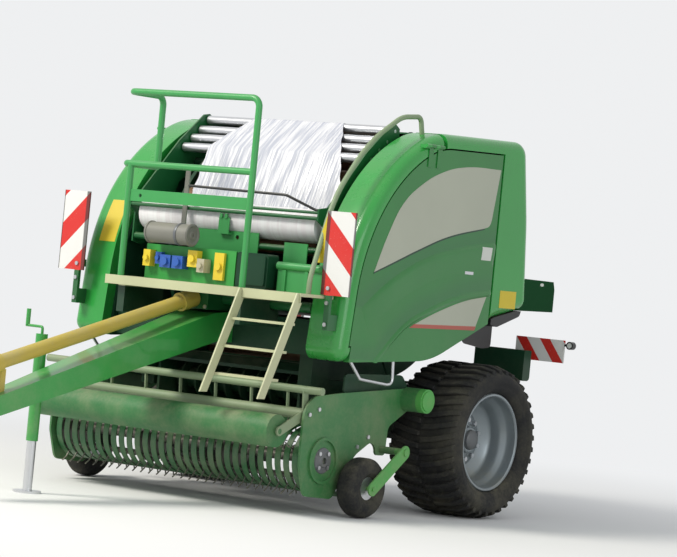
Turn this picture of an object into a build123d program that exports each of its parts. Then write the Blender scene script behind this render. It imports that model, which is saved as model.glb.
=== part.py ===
"""Round baler, towed, with film and net wrapping at its front, standing on its jack.

Lengths are in millimetres. The machine is modelled with y = 0 at the wheel axle, x = 0 on its centre
line and z = 0 on the ground: +X is its left side, -Y the towing end. write() moves each piece back by
AXLE_Y, so that the origin lies under the middle of the machine's length.
"""
from build123d import *
import os
from math import acos, atan2, cos, degrees, pi, radians, sin

# Place of the axle behind the middle of the machine's length
AXLE_Y = 1480

# Clearances
SEAT = 0.3          # between pieces of one body that rest on each other
RUN = 10            # half the gap between the fixed half and the tailgate
DOOR_GAP = 10       # round a side door

# Wheels: tyre 560 mm wide on a 26.5 inch rim, out to the tips of its lugs
TYRE_R = 525
TYRE_W = 560
TYRE_X = 1095       # middle of the tyre
RIM_R = 337
LUG_H = 24
LUGS = 30            # on each side of the tread
WHEEL_SIDES = 60
AXLE_Z = TYRE_R
AXLE_R = 45

# Side covers: corners of their side view over the top of the rounding
CROWN = (
    # y, z, radius at that corner
    (-1590, 1000, 80),
    (-1470, 2192, 1300),
    (-665, 2566, 700),
    (395, 2597, 110),
    (505, 2050, 1500),
    (572, 1450, 76),
    (200, 1370, 300),
    (-560, 1045, 900),
)
CROWN_X = (880, 1150)     # the arched bands, inner edge and outer face
EDGE_R = 75               # rounding of their outer edge
ARCH_WALL = 90
RIM_IN = 95               # width of the flat rim round the door opening
DOOR_X = (1105, 1150)
DOOR_REAR_Y = 90
STRIP_Y = DOOR_REAR_Y + 2 * DOOR_GAP
BULKHEAD_X = (860, CROWN_X[0] - SEAT)
BULKHEAD_IN = 5
FRONT_BULKHEAD_IN = 85     # the fixed bulkheads leave the arch's inner edge open to view
SKIN_T = 10
RAMP_X = 480
BUMPER_WALL = 8
SHAFT_R = 30                # the pickup reel's shaft
# side views of the feed housing and of the room inside it (y, z)
HOUSING = ((-1250, 560), (-1250, 900), (-1180, 950), (-820, 950), (-760, 860), (-760, 600), (-900, 550))
HOUSING_BORE = ((-1300, 600), (-1300, 860), (-1000, 960), (-860, 960), (-800, 840), (-800, 640), (-900, 600))
BUMPER = ((440, 1430), (440, 1660), (950, 1655), (970, 1600), (970, 1440))      # y, z

# Split between the fixed half and the tailgate, and the tailgate hinge
SPLIT_Y = -600
SPLIT_KNEE_Z = 1300
SPLIT_LOW = (-307, 860)
HINGE_Z = 2530
HINGE_LUG_R = 40
HINGE_PIN_R = 18
HINGE_LUG_X = (838, 854)
SEAM = (30, 10)          # the seam over the top, before and behind the hinge's place
DOOR_HINGE = (1165, 2470)          # x, z of the hinge line of a side door
DOOR_BARREL_R = 12
DOOR_PIN_R = 6
DOOR_STRAP_T = 6
DOOR_STRAP_LOW = 2330
KNUCKLES_FIXED = ((-852, -802), (-748, -702))
KNUCKLES_DOOR = ((-800, -750), (-700, -650))
HANDLE_X = 1128
HANDLE = ((-1440, 1030), (-1300, 900), (-1000, 872), (-935, 878), (-950, 1060))      # y, z

# Chamber
CHAMBER = (-450, 1660)
RING_R = 690
ROLLER_R = 90
ROLLER_X = 611
JOURNAL_R = 28
WALL_X = (620, 650)
WALL_R = 780
FRONT_ROLLERS = (112, 132, 152, 172, 192, 232, 252, 272)
TAIL_ROLLERS = (92, 72, 52, 32, 12, -8, -28, -48, -68)
STAY_R = 35
FRONT_STAYS = (122, 162, 202, 242)
TAIL_STAYS = (82, 42, 2, -38)

# Chassis
BEAM_X = (WALL_X[1] + SEAT, 760)
BEAM_Y = (-1250, 600)
BEAM_Z = (700, 860)
CROSS_Y = (-1450, -1330)
CROSS_Z = (1020, 1250)
UPRIGHT_LOW = 760          # underside of the uprights, over the raised pickup
REAR_BEAM_X = 1080
REAR_BEAM_Y = (600, 690)
REAR_BEAM_Z = (715, 845)
PIVOT = (-680, 780)
PIVOT_TUBE_R = 60
PIVOT_PIN_R = 35
BOSS_R = 80
HANGER_X = (1022, 1034)
HANGER = (
    # y, z, radius: plate that holds the pickup's pivot tube
    (-1330, 800, 30),
    (-1330, 925, 30),
    (-690, 935, 70),
    (-600, 830, 60),
    (-610, 700, 60),
    (-760, 690, 60),
)
REAR_BOARD_X = (955, 1362)
REAR_BOARD_Z = (1095, 1255)
REAR_BOX_X = (720, 1140)
REAR_BOX = (
    # y, z, radius: box over the rear beam's end
    (REAR_BEAM_Y[0], 945, 12),
    (REAR_BEAM_Y[0], 1160, 12),
    (REAR_BEAM_Y[1], 1160, 12),
    (REAR_BEAM_Y[1], 945, 30),
)
FOOT_Y = (-1200, -700)
FOOT_Z = (700, 1150)

# Drawbar
TONGUE_REAR = (-1450, 1045, 1250)     # y, underside, top
TONGUE_FRONT = (-3750, 440, 560)
TONGUE_W = (320, 120)
EYE_R = (25, 60)
EYE_Y = -3870
EYE_Z = 500
EYE_T = 36

# Driveline on top of the drawbar
GEAR_Y = (-1690, -1451)
GEAR_X = 120
GEAR_TOP = 1395
DRIVE_R = 45
DRIVE_REAR_Z = 1320
DRIVE_FRONT = (-3640, 790)

# Jack
JACK_Y = -2900
JACK_X = -215
JACK_R = 38
JACK_LEG_R = 30
JACK_TOP = 1010
JACK_FOOT_R = 90
JACK_LIFT = 300

# Pickup
REEL = (-1550, 360)
TINE_TIP_R = 300
TINE_BAR_R = 150
TINE_BARS = 5
TINE_R = 3.5
REEL_PIN_R = 20
STRIPPER_R = 205
STRIPPER_T = 6
STRIPPER_W = 45
STRIPPER_PITCH = 70
STRIPPERS = 29           # gaps between the bands, one row of tines in each
STRIPPER_END = 290       # the bands' straight legs behind the reel's axis
STRIPPER_BEAM = 28
PICKUP_X = (STRIPPERS * STRIPPER_PITCH / 2 + 47, STRIPPERS * STRIPPER_PITCH / 2 + 63)
BOSS_X = PICKUP_X[1] + 172
CROP_ROLLER = (-1985, 540)
CROP_ROLLER_R = 105
CROP_PIN_R = 18
GUARD_BAR = (-1750, 810)
GUARD_TUBE = (-1735, 655)
GUARD_TUBE_R = 35
GUARD_ARM_X = (14.5 - PICKUP_X[0], 26.5 - PICKUP_X[0])
GUARD_PIN_X = (GUARD_ARM_X[0] + 1, -GUARD_ARM_X[0] - 1)
PICKUP_SIDE = (
    # y, z, radius
    (-590, 740, 50),
    (-690, 850, 60),
    (-1400, 800, 100),
    (-1790, 760, 160),
    (-1790, 330, 120),
    (-1720, 130, 60),
    (-1420, 110, 60),
    (-1200, 400, 150),
    (-980, 520, 60),
    (-980, 400, 30),
    (-870, 400, 30),
    (-860, 590, 60),
)
ARM_JOINT = (-920, 440)      # of the gauge wheel's arm
ARM_R = 24
ARM_W = 90
GAUGE = (-1245, 199)
GAUGE_R = 197
GAUGE_X = (PICKUP_X[1] + 30, PICKUP_X[1] + 180)
GAUGE_PIN_R = 14
GAUGE_SIDES = 30

# Front platform and its fittings
FLOOR_X = (-600, 1050)
FLOOR_Y = (-1910, -1560)
FLOOR_Z = (1400, 1420)
RAIL_R = 22
RAIL_BEND = 60
RAIL_TOP = 2650
RAIL_MID = 2170
RAIL_Y = -1860
RAIL_BACK_Y = -1510
RAIL_X = (-580, 530)
RAIL_POST_X = -510
TOE_Z = (1920, 2000)         # plate between two posts

# Grab rail: corners of its bow, with the radius of each bend
GRAB_X = 980
GRAB_R = 17
GRAB_RAIL = (
    # y, z, bend
    (-1738, 1420.3, 0),
    (-1738, 1520, 300),
    (-1560, 2060, 900),
    (-1250, 2440, 1100),
    (-900, 2645, 300),
    (-690, 2665, 45),
    (-640, 2480, 0),
)

# Film
FILM_ROLL = (-1340, 1862)
FILM_ROLL_R = 112
FILM_ROLL_X = 755
FILM_T = 2
FILM_GAP = 0.4
GUIDE_R = 33
GUIDES = ((-740, 2555), (-820, 2478), (-900, 2414), (-982, 2345))     # y, z
CHEEK_X = (805, 817)
CHEEK_ENDS = BULKHEAD_X[0] - SEAT
ROD_Y = (-1500, -1430)      # free end, end on the left cheek
ROD_X = -310                # its free end
ROD_Z = (2062, 1968)
BEAM_TUBES = ((-1475, 1950, 10), (-1475, 1912, 13), (-1404, 1700, 22))     # y, z, radius
# z, right edge and left edge of the film
FILM_HALF = ((1700, -600, 770), (2060, -600, 770), (2360, -560, 585), (2650, -330, 335))
GUIDE_X = 795
GUIDE_PIN_R = 12
CORE_R = 38

# Fittings on the platform
CANISTER = (-1790, 1728)
CANISTER_R = 70
CANISTER_X = (-335, 10)
VALVE_Y = -1700
VALVES = (
    # x, width, low, high, depth
    (-385, 60, 1500, 1610, 60),
    (-300, 50, 1520, 1600, 40),
    (-215, 90, 1500, 1585, 70),
    (-110, 90, 1500, 1585, 70),
    (5, 80, 1520, 1630, 55),
    (95, 60, 1490, 1580, 75),
    (210, 80, 1450, 1630, 25),
)


def box(x, y, z):
    """Block between two places on each axis."""
    middle = Pos((x[0] + x[1]) / 2, (y[0] + y[1]) / 2, (z[0] + z[1]) / 2)
    return middle * Box(x[1] - x[0], y[1] - y[0], z[1] - z[0])


def bar(x, place, radius):
    """Round bar along x between two x, at a place (y, z)."""
    middle = Pos((x[0] + x[1]) / 2, place[0], place[1])
    return middle * Rot(0, 90, 0) * Cylinder(radius, x[1] - x[0])


def bar_y(x, y, z, radius):
    """Round bar along y."""
    return Pos(x, (y[0] + y[1]) / 2, z) * Rot(90, 0, 0) * Cylinder(radius, y[1] - y[0])


def post(x, y, z, radius):
    """Upright round bar between two heights."""
    return Pos(x, y, (z[0] + z[1]) / 2) * Cylinder(radius, z[1] - z[0])


def rod(start, end, radius):
    """Straight round bar between two points."""
    run = Vector(*end) - Vector(*start)
    return Plane(origin=Vector(*start), z_dir=run.normalized()) * (
        Pos(0, 0, run.length / 2) * Cylinder(radius, run.length))


def slab(view, x):
    """Slab of a side view (y, z) between two x."""
    return extrude(Pos(x[0], 0, 0) * (Plane.YZ * view), x[1] - x[0], dir=(1, 0, 0))


def tube(points, radius, bend):
    """Bent round bar along straight runs joined by arcs of one radius."""
    path = FilletPolyline(*points, radius=bend)
    start = Vector(*points[0])
    return sweep(Plane(origin=start, z_dir=path % 0) * Circle(radius), path=path)


def both(piece):
    """A piece and its twin on the other side."""
    return [piece, mirror(piece, Plane.YZ)]


def ring_place(angle, radius=RING_R):
    """Place (y, z) on the circle of the chamber rollers."""
    return (CHAMBER[0] + radius * cos(radians(angle)), CHAMBER[1] + radius * sin(radians(angle)))


def write(name, *solids):
    """Write one piece, moved back so that the origin lies under the middle."""
    placed = [Pos(0, AXLE_Y, 0) * solid for item in solids for solid in item.solids()]
    shape = placed[0] if len(placed) == 1 else Compound(placed)
    export_step(shape, f"parts/{name}.step")


def crown():
    """Side view (y, z) of the covers over the top of their rounding."""
    return rounded(CROWN)


def inside(view, amount):
    """A side view drawn in by an amount."""
    return offset(view, -amount)


def rounded(corners):
    """Closed side view from corners (y, z, radius)."""
    places = [(y, z) for y, z, radius in corners]
    return make_face(FilletPolyline(*places, radius=[radius for y, z, radius in corners], close=True))


def strip(start, end, width):
    """Side view of a flat bar between two places, with round ends."""
    run = Vector(end[0] - start[0], end[1] - start[1])
    lean = degrees(atan2(run.Y, run.X))
    middle = Pos((start[0] + end[0]) / 2, (start[1] + end[1]) / 2)
    flat = middle * Rot(0, 0, lean) * Rectangle(run.length, width)
    return flat + Pos(*start) * Circle(width / 2) + Pos(*end) * Circle(width / 2)


def dropped(view, amount):
    """A side view joined with its copy lower down, which opens its lower edge."""
    return view + Pos(0, -amount) * view


def side_region(fixed):
    """Side view of all that lies before the split, or behind it."""
    end = -4000 if fixed else 2000
    gap = -RUN if fixed else RUN
    return Polygon((end, 3000), (SPLIT_Y + gap, 3000), (SPLIT_Y + gap, SPLIT_KNEE_Z),
                   (SPLIT_LOW[0] + gap, SPLIT_LOW[1]), (SPLIT_LOW[0] + gap, 0), (end, 0), align=None)


def cover_block():
    """Left cover as one block with its rounded outer edge."""
    block = slab(crown(), CROWN_X)
    outer = block.faces().sort_by(Axis.X)[-1].edges()
    return fillet(outer, EDGE_R)


def front_arch(block):
    """Arched band of the fixed half, open towards the door."""
    view = crown()
    hollow = slab(dropped(inside(view, ARCH_WALL), 2 * ARCH_WALL), (CROWN_X[0] - 10, CROWN_X[1] - ARCH_WALL))
    opening = slab(dropped(inside(view, RIM_IN), 2 * RIM_IN), (CROWN_X[0], CROWN_X[1] + 10))
    seam_y = SPLIT_Y - SEAM[0]
    kept = slab(Polygon((-4000, 3000), (seam_y, 3000), (seam_y, 0), (-4000, 0), align=None),
                (CROWN_X[0] - 10, CROWN_X[1] + 10))
    return (block & kept) - hollow - opening + door_knuckles()


def knuckle(y, radius):
    """Round bar on the hinge line of the left door."""
    middle = Pos(DOOR_HINGE[0], (y[0] + y[1]) / 2, DOOR_HINGE[1])
    return middle * Rot(90, 0, 0) * Cylinder(radius, y[1] - y[0])


def door_knuckles():
    """Fixed knuckles of the left door on its arched band, with their pin."""
    pin_y = (KNUCKLES_FIXED[0][0], KNUCKLES_DOOR[-1][1])
    fixed = knuckle(pin_y, DOOR_PIN_R)
    for y in KNUCKLES_FIXED:
        fixed += knuckle(y, DOOR_BARREL_R)
        fixed += box((CROWN_X[1] - 35, DOOR_HINGE[0] - 4), y, (DOOR_HINGE[1] - 18, DOOR_HINGE[1] + 6))
    return fixed


def tail_arch(block):
    """Arched band of the tailgate with the strip of side behind the door."""
    view = crown()
    hollow = slab(dropped(inside(view, ARCH_WALL), 2 * ARCH_WALL), (CROWN_X[0] - 10, DOOR_X[0]))
    opening_view = dropped(inside(view, RIM_IN), 2 * RIM_IN) & Polygon(
        (-4000, 3000), (STRIP_Y, 3000), (STRIP_Y, 0), (-4000, 0), align=None)
    opening = slab(opening_view, (CROWN_X[0], CROWN_X[1] + 10))
    seam_y = SPLIT_Y + SEAM[1]
    kept = slab(Polygon((2000, 3000), (seam_y, 3000), (seam_y, 2000), (STRIP_Y, 2000), (STRIP_Y, 0),
                        (2000, 0), align=None), (CROWN_X[0] - 10, CROWN_X[1] + 10))
    return (block & kept) - hollow - opening


def door():
    """Left side door, hinged along its top."""
    view = crown()
    room = dropped(inside(view, RIM_IN + DOOR_GAP), 2 * RIM_IN) & view
    room = room & Polygon((-4000, 3000), (DOOR_REAR_Y, 3000), (DOOR_REAR_Y, 0), (-4000, 0), align=None)
    leaf = slab(room, DOOR_X)
    for y in KNUCKLES_DOOR:
        strap_x = (DOOR_X[1] + SEAT, DOOR_X[1] + DOOR_STRAP_T)
        leaf += box(strap_x, y, (DOOR_STRAP_LOW, DOOR_HINGE[1]))
        leaf += box((DOOR_X[1] - 1, strap_x[1]), y, (DOOR_STRAP_LOW, DOOR_STRAP_LOW + 50))
        leaf += knuckle(y, DOOR_BARREL_R)
    whole_line = (KNUCKLES_FIXED[0][0] - 10, KNUCKLES_DOOR[-1][1] + 10)
    return leaf - knuckle(whole_line, DOOR_PIN_R + SEAT)


def door_handle():
    """Bent bar under the lower edge of the left door."""
    line = [(HANDLE_X, y, z) for y, z in HANDLE]
    return tube(line, 11, 40) - slab(offset(crown(), SEAT), (HANDLE_X - 50, HANDLE_X + 50))


def bulkhead(fixed):
    """Inner wall of a cover, on one side of the split."""
    hinge = Pos(SPLIT_Y, HINGE_Z)
    amount = FRONT_BULKHEAD_IN if fixed else BULKHEAD_IN
    covered = dropped(inside(crown(), amount), amount)
    view = covered & side_region(fixed)
    if fixed:
        return slab(view - hinge * Circle(HINGE_LUG_R + RUN), BULKHEAD_X)
    view = view + (covered & hinge * Circle(HINGE_LUG_R))
    return slab(view - hinge * Circle(HINGE_PIN_R + SEAT), BULKHEAD_X)


def hinge_lug():
    """Lug of the fixed half beside its bulkhead, with the hinge pin."""
    view = Polygon((SPLIT_Y - 170, 2340), (SPLIT_Y - 170, 2440), (SPLIT_Y - 25, HINGE_Z + 24),
                   (SPLIT_Y + 25, HINGE_Z - 24), (SPLIT_Y - 60, 2340), align=None)
    lug = slab(view, HINGE_LUG_X) + bar(HINGE_LUG_X, (SPLIT_Y, HINGE_Z), HINGE_LUG_R - 5)
    lug += box((HINGE_LUG_X[1] - 1, BULKHEAD_X[0] + 1), (SPLIT_Y - 165, SPLIT_Y - 70), (2345, 2400))
    return lug + bar((HINGE_LUG_X[0], BULKHEAD_X[1]), (SPLIT_Y, HINGE_Z), HINGE_PIN_R)


def chamber_wall(fixed):
    """Wall of the bale chamber, on one side of the split."""
    disc = Pos(*CHAMBER) * Circle(WALL_R)
    if fixed:
        foot = Pos((FOOT_Y[0] + FOOT_Y[1]) / 2, (FOOT_Z[0] + FOOT_Z[1]) / 2) * Rectangle(
            FOOT_Y[1] - FOOT_Y[0], FOOT_Z[1] - FOOT_Z[0])
        disc = disc + foot
    return slab(disc & side_region(fixed), WALL_X)


def walls(fixed):
    """Walls and bulkheads of one half, joined by stays."""
    stays = FRONT_STAYS if fixed else TAIL_STAYS
    left = chamber_wall(fixed) + bulkhead(fixed)
    for angle in stays:
        left += bar((WALL_X[1] - 1, BULKHEAD_X[0] + 1), ring_place(angle), STAY_R)
    return left


def rollers(angles):
    """Chamber rollers at angles round the ring."""
    turned = []
    for angle in angles:
        place = ring_place(angle)
        turned.append(bar((-ROLLER_X, ROLLER_X), place, ROLLER_R)
                      + bar((SEAT - WALL_X[0], WALL_X[0] - SEAT), place, JOURNAL_R))
    return turned


def chassis():
    """Ladder frame: side beams, uprights, cross beams and the pickup's cross tube."""
    frame = box((-BULKHEAD_X[0] + SEAT, BULKHEAD_X[0] - SEAT), CROSS_Y, CROSS_Z)
    frame += box((-REAR_BEAM_X, REAR_BEAM_X), REAR_BEAM_Y, REAR_BEAM_Z)
    for beam in both(box(BEAM_X, (BEAM_Y[0], BEAM_Y[1] + 1), BEAM_Z)):
        frame += beam
    for upright in both(box(BEAM_X, (CROSS_Y[1] - 1, BEAM_Y[0] + 100), (UPRIGHT_LOW, CROSS_Z[1]))):
        frame += upright
    reach = PICKUP_X[0] - 5
    pivot = bar((BEAM_X[0], reach), PIVOT, PIVOT_TUBE_R) + bar((BEAM_X[0], BOSS_X - 25), PIVOT, PIVOT_PIN_R)
    for tube_end in both(pivot):
        frame += tube_end
    hanger = slab(rounded(HANGER), HANGER_X)
    box_end = slab(rounded(REAR_BOX), REAR_BOX_X)
    box_end += box((840, 900), REAR_BEAM_Y, (REAR_BEAM_Z[1] - 1, REAR_BOX[0][1] + 1))
    for piece in both(hanger) + both(box_end):
        frame += piece
    return frame


def axle():
    """Axle beam with its hubs."""
    beam = box((-700, 700), (-60, 60), (AXLE_Z - 60, AXLE_Z + 60))
    for post_side in both(box(BEAM_X, (-70, 70), (AXLE_Z - 60, BEAM_Z[0] - SEAT))):
        beam += post_side
    for stub in both(bar((690, TYRE_X + 70), (0, AXLE_Z), AXLE_R)):
        beam += stub
    return beam


def facet_ring(profile, sides):
    """Ring of flats round the x axis from a closed profile of (x, radius)."""
    turns = [2 * pi * number / sides for number in range(sides)]
    rows = [[Vector(x, r * cos(turn), r * sin(turn)) for x, r in profile] for turn in turns]
    faces = []
    for number in range(sides):
        here, there = rows[number], rows[(number + 1) % sides]
        for low in range(len(profile)):
            high = (low + 1) % len(profile)
            corners = [here[low], here[high], there[high], there[low]]
            faces.append(Face(Wire.make_polygon(corners, close=True)))
    return Solid(Shell(faces))


def tyre():
    """Left tyre about the axle: carcass and two rows of lugs, half a pitch apart."""
    half = TYRE_W / 2
    tread = TYRE_R - LUG_H
    profile = [(-half + 80, RIM_R + SEAT), (-half, RIM_R + 95), (-half + 22, tread - 28), (-half + 75, tread),
               (half - 75, tread), (half - 22, tread - 28), (half, RIM_R + 95), (half - 80, RIM_R + SEAT)]
    ring = facet_ring(profile, WHEEL_SIDES)
    lugs = []
    for row, side in enumerate((-1, 1)):
        for number in range(LUGS):
            turn = (number + row / 2) * 360 / LUGS
            lugs.append(Rot(turn, 0, 0) * lug(side))
    ring = ring.fuse(*lugs)
    return Pos(TYRE_X, 0, AXLE_Z) * ring


def lug(side):
    """One lug of the tread at the top of the tyre, from the middle over one shoulder."""
    half = TYRE_W / 2
    top = TYRE_R - 1
    out = half - 12
    plan = Polygon((side * 30, -32), (side * out, -8), (side * out, 30), (side * 30, 4), align=None)
    block = extrude(plan, TYRE_R, dir=(0, 0, 1))
    end_view = Polygon((side * 20, top - 40), (side * 20, top), (side * (half - 50), top - 6),
                       (side * (half - 14), top - 90), (side * (half - 40), top - 90), align=None)
    return block & extrude(Plane.XZ * end_view, 60, both=True)


def rim():
    """Left wheel rim: outer lips, well, deep dished disc and hub."""
    half = TYRE_W / 2
    profile = [(-half + 78, RIM_R - 20), (-half + 78, RIM_R), (half - 78, RIM_R), (half - 50, RIM_R - 8),
               (half - 50, RIM_R - 22), (half - 84, RIM_R - 28), (half - 130, RIM_R - 34),
               (half - 175, RIM_R - 66), (45, RIM_R - 70), (-10, 190), (14, 96), (60, 84), (60, AXLE_R + SEAT), (-6, AXLE_R + SEAT),
               (-6, 96), (-32, 195), (-20, RIM_R - 52), (-half + 130, RIM_R - 46)]
    return Pos(TYRE_X, 0, AXLE_Z) * facet_ring(profile, WHEEL_SIDES)


def drawbar():
    """Tapered box drawbar."""
    side = Polygon((TONGUE_REAR[0] - SEAT, TONGUE_REAR[1]), (TONGUE_REAR[0] - SEAT, TONGUE_REAR[2]),
                   (TONGUE_REAR[0] - 200, TONGUE_REAR[2] - 20), (TONGUE_FRONT[0], TONGUE_FRONT[2]),
                   (TONGUE_FRONT[0], TONGUE_FRONT[1]), (TONGUE_REAR[0] - 150, TONGUE_REAR[1]), align=None)
    long_box = slab(side, (-400, 400))
    plan = Polygon((-TONGUE_W[0] / 2, TONGUE_REAR[0]), (TONGUE_W[0] / 2, TONGUE_REAR[0]),
                   (TONGUE_W[1] / 2, TONGUE_FRONT[0]), (-TONGUE_W[1] / 2, TONGUE_FRONT[0]), align=None)
    return long_box & extrude(plan, 2000, dir=(0, 0, 1))


def tow_eye():
    """Drawbar eye with its flange."""
    eye = Cylinder(EYE_R[1], EYE_T)
    shank = box((-30, 30), (40, TONGUE_FRONT[0] - EYE_Y - 20), (-EYE_T / 2, EYE_T / 2))
    flange = box((-60, 60), (TONGUE_FRONT[0] - EYE_Y - 22, TONGUE_FRONT[0] - EYE_Y - SEAT), (-60, 60))
    return Pos(0, EYE_Y, EYE_Z) * (eye + shank + flange - Cylinder(EYE_R[0], 2 * EYE_T))


def gearbox():
    """Bevel gearbox on top of the front cross beam, with its cross shaft."""
    body = box((-GEAR_X, GEAR_X), GEAR_Y, (TONGUE_REAR[2] + SEAT, GEAR_TOP))
    body += bar((GEAR_X - 1, BULKHEAD_X[0] - SEAT), (GEAR_Y[1] - 60, 1330), 35)
    return body


def driveline():
    """Guarded drive shaft above the drawbar, with a bell at each end."""
    rear = (0, GEAR_Y[0] - SEAT - 8, DRIVE_REAR_Z)
    front = (0, DRIVE_FRONT[0], DRIVE_FRONT[1])
    shaft = rod(rear, front, DRIVE_R)
    run = Vector(*front) - Vector(*rear)
    for share in (0.0, 0.93):
        start = Vector(*rear) + run * share
        shaft += rod(tuple(start), tuple(start + run * 0.07), 62)
    cut = box((-200, 200), (GEAR_Y[0] - SEAT, GEAR_Y[0] + 300), (1000, 1700))
    holder = box((-20, 20), (DRIVE_FRONT[0] + 150, DRIVE_FRONT[0] + 190), (600, 790))
    beam_view = Polygon((TONGUE_REAR[0], TONGUE_REAR[2] + SEAT),
                        (TONGUE_REAR[0] - 200, TONGUE_REAR[2] - 20 + SEAT),
                        (TONGUE_FRONT[0], TONGUE_FRONT[2] + SEAT), (TONGUE_FRONT[0], 0), (0, 0), align=None)
    under = slab(beam_view, (-300, 300))
    return shaft - cut + (holder - under)


def jack_tube():
    """Outer tube of the parking jack, its bracket and crank."""
    sleeve = post(JACK_X, JACK_Y, (330, JACK_TOP), JACK_R)
    sleeve -= post(JACK_X, JACK_Y, (300, JACK_TOP - 30), JACK_LEG_R + SEAT)
    crank = tube([(JACK_X, JACK_Y, JACK_TOP - 5), (JACK_X, JACK_Y, JACK_TOP + 45),
                  (JACK_X - 140, JACK_Y, JACK_TOP + 45)], 9, 15)
    crank += post(JACK_X - 130, JACK_Y, (JACK_TOP + 50, JACK_TOP + 150), 14)
    half = tongue_half(JACK_Y + 45)
    arm = box((JACK_X + JACK_R - 8, -half - SEAT), (JACK_Y - 45, JACK_Y + 45), (650, 730))
    return sleeve + crank + arm


def tongue_half(y):
    """Half the drawbar's width at a place along it."""
    share = (y - TONGUE_REAR[0]) / (TONGUE_FRONT[0] - TONGUE_REAR[0])
    return (TONGUE_W[0] + share * (TONGUE_W[1] - TONGUE_W[0])) / 2


def jack_leg():
    """Inner leg of the jack with its foot."""
    leg = post(JACK_X, JACK_Y, (12, JACK_TOP - 40 - JACK_LIFT), JACK_LEG_R)
    return leg + post(JACK_X, JACK_Y, (0, 14), JACK_FOOT_R)


def pickup_frame():
    """Side plates with their pivots, and the arms of the gauge wheels."""
    side = slab(rounded(PICKUP_SIDE), PICKUP_X)
    side += bar((PICKUP_X[1] - 1, BOSS_X), PIVOT, BOSS_R) + bar((BOSS_X - 1, BOSS_X + 8), PIVOT, BOSS_R - 14)
    side -= bar((PICKUP_X[0] - 1, BOSS_X - 20), PIVOT, PIVOT_PIN_R + SEAT)
    side -= bar((PICKUP_X[0] - 1, PICKUP_X[1] + 1), REEL, REEL_PIN_R + SEAT)
    side += slab(Pos(*REEL) * (Circle(150) - Circle(132)), (PICKUP_X[1] - 1, PICKUP_X[1] + 14))
    arm_x = (GAUGE_X[1] + 12, GAUGE_X[1] + 24)
    side += bar((PICKUP_X[1] - 1, arm_x[1] + 8), ARM_JOINT, ARM_R)
    side += slab(strip(ARM_JOINT, GAUGE, ARM_W), arm_x)
    side += bar((GAUGE_X[0] - 6, arm_x[1] + 10), GAUGE, GAUGE_PIN_R)
    return both(side)


def pickup_strippers():
    """Bands round the front of the reel, and the two beams that carry their ends."""
    outer = STRIPPER_R + STRIPPER_T
    legs = Pos(STRIPPER_END / 2, 0)
    view = Circle(outer) + legs * Rectangle(STRIPPER_END, 2 * outer)
    view -= Circle(STRIPPER_R) + Pos(STRIPPER_END / 2 + 1, 0) * Rectangle(STRIPPER_END + 2, 2 * STRIPPER_R)
    whole = None
    beam_x = (SEAT - PICKUP_X[0], PICKUP_X[0] - SEAT)
    for side in (-1, 1):
        heights = sorted((REEL[1] + side * (outer - 1), REEL[1] + side * (outer + STRIPPER_BEAM)))
        beam = box(beam_x, (REEL[0] + STRIPPER_END - STRIPPER_BEAM, REEL[0] + STRIPPER_END), heights)
        whole = beam if whole is None else whole + beam
    for number in range(STRIPPERS + 1):
        middle = (number - STRIPPERS / 2) * STRIPPER_PITCH
        whole += slab(Pos(*REEL) * view, (middle - STRIPPER_W / 2, middle + STRIPPER_W / 2))
    return whole


def tine(x, angle):
    """Flat spring tine from its bar outwards, with its tip swept back."""
    root, knee, tip = TINE_BAR_R, TINE_TIP_R - 45, TINE_TIP_R - 3
    view = Polygon((root, -TINE_R), (knee, -TINE_R), (tip, -TINE_R - 14), (tip, TINE_R - 14), (knee, TINE_R),
                   (root, TINE_R), align=None)
    return slab(Pos(*REEL) * Rot(0, 0, angle) * view, (x - TINE_R, x + TINE_R))


def pickup_reel():
    """Tined reel: shaft, discs and tine bars with their tines in pairs' pitch."""
    reel = bar((5 - PICKUP_X[0], PICKUP_X[0] - 5), REEL, SHAFT_R)
    reel += bar((1 - PICKUP_X[1], PICKUP_X[1] - 1), REEL, REEL_PIN_R)
    end = PICKUP_X[0] - 22
    for x in (-end, -end / 3, end / 3, end):
        reel += bar((x - 5, x + 5), REEL, TINE_BAR_R + 20)
    tines = []
    for number in range(TINE_BARS):
        angle = 90 + number * 360 / TINE_BARS
        place = (REEL[0] + TINE_BAR_R * cos(radians(angle)), REEL[1] + TINE_BAR_R * sin(radians(angle)))
        reel += bar((-end - 2, end + 2), place, 12)
        for column in range(STRIPPERS):
            tines.append(tine((column - (STRIPPERS - 1) / 2) * STRIPPER_PITCH, angle))
    return reel, tines


def crop_roller():
    """Free roller ahead of the reel."""
    end = GUARD_ARM_X[1] + 4
    roller = bar((end + 10, -end - 10), CROP_ROLLER, CROP_ROLLER_R)
    roller += bar((end, -end), CROP_ROLLER, CROP_PIN_R + 12)
    return roller + bar(GUARD_PIN_X, CROP_ROLLER, CROP_PIN_R)


def wind_guard():
    """Cross tube of the pickup, with the arms that carry the guard bar and the crop roller."""
    guard = bar((-1180, 1180), GUARD_BAR, 25)
    guard += bar((SEAT - PICKUP_X[0], PICKUP_X[0] - SEAT), GUARD_TUBE, GUARD_TUBE_R)
    arm_view = strip(GUARD_TUBE, GUARD_BAR, 50) + strip(GUARD_TUBE, CROP_ROLLER, 60)
    arm = slab(arm_view - Pos(*CROP_ROLLER) * Circle(CROP_PIN_R + SEAT), GUARD_ARM_X)
    for piece in both(arm):
        guard += piece
    for number in range(-3, 4):
        x = number * 300
        guard += slab(strip(GUARD_TUBE, GUARD_BAR, 22), (x - 5, x + 5))
    return guard


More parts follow.
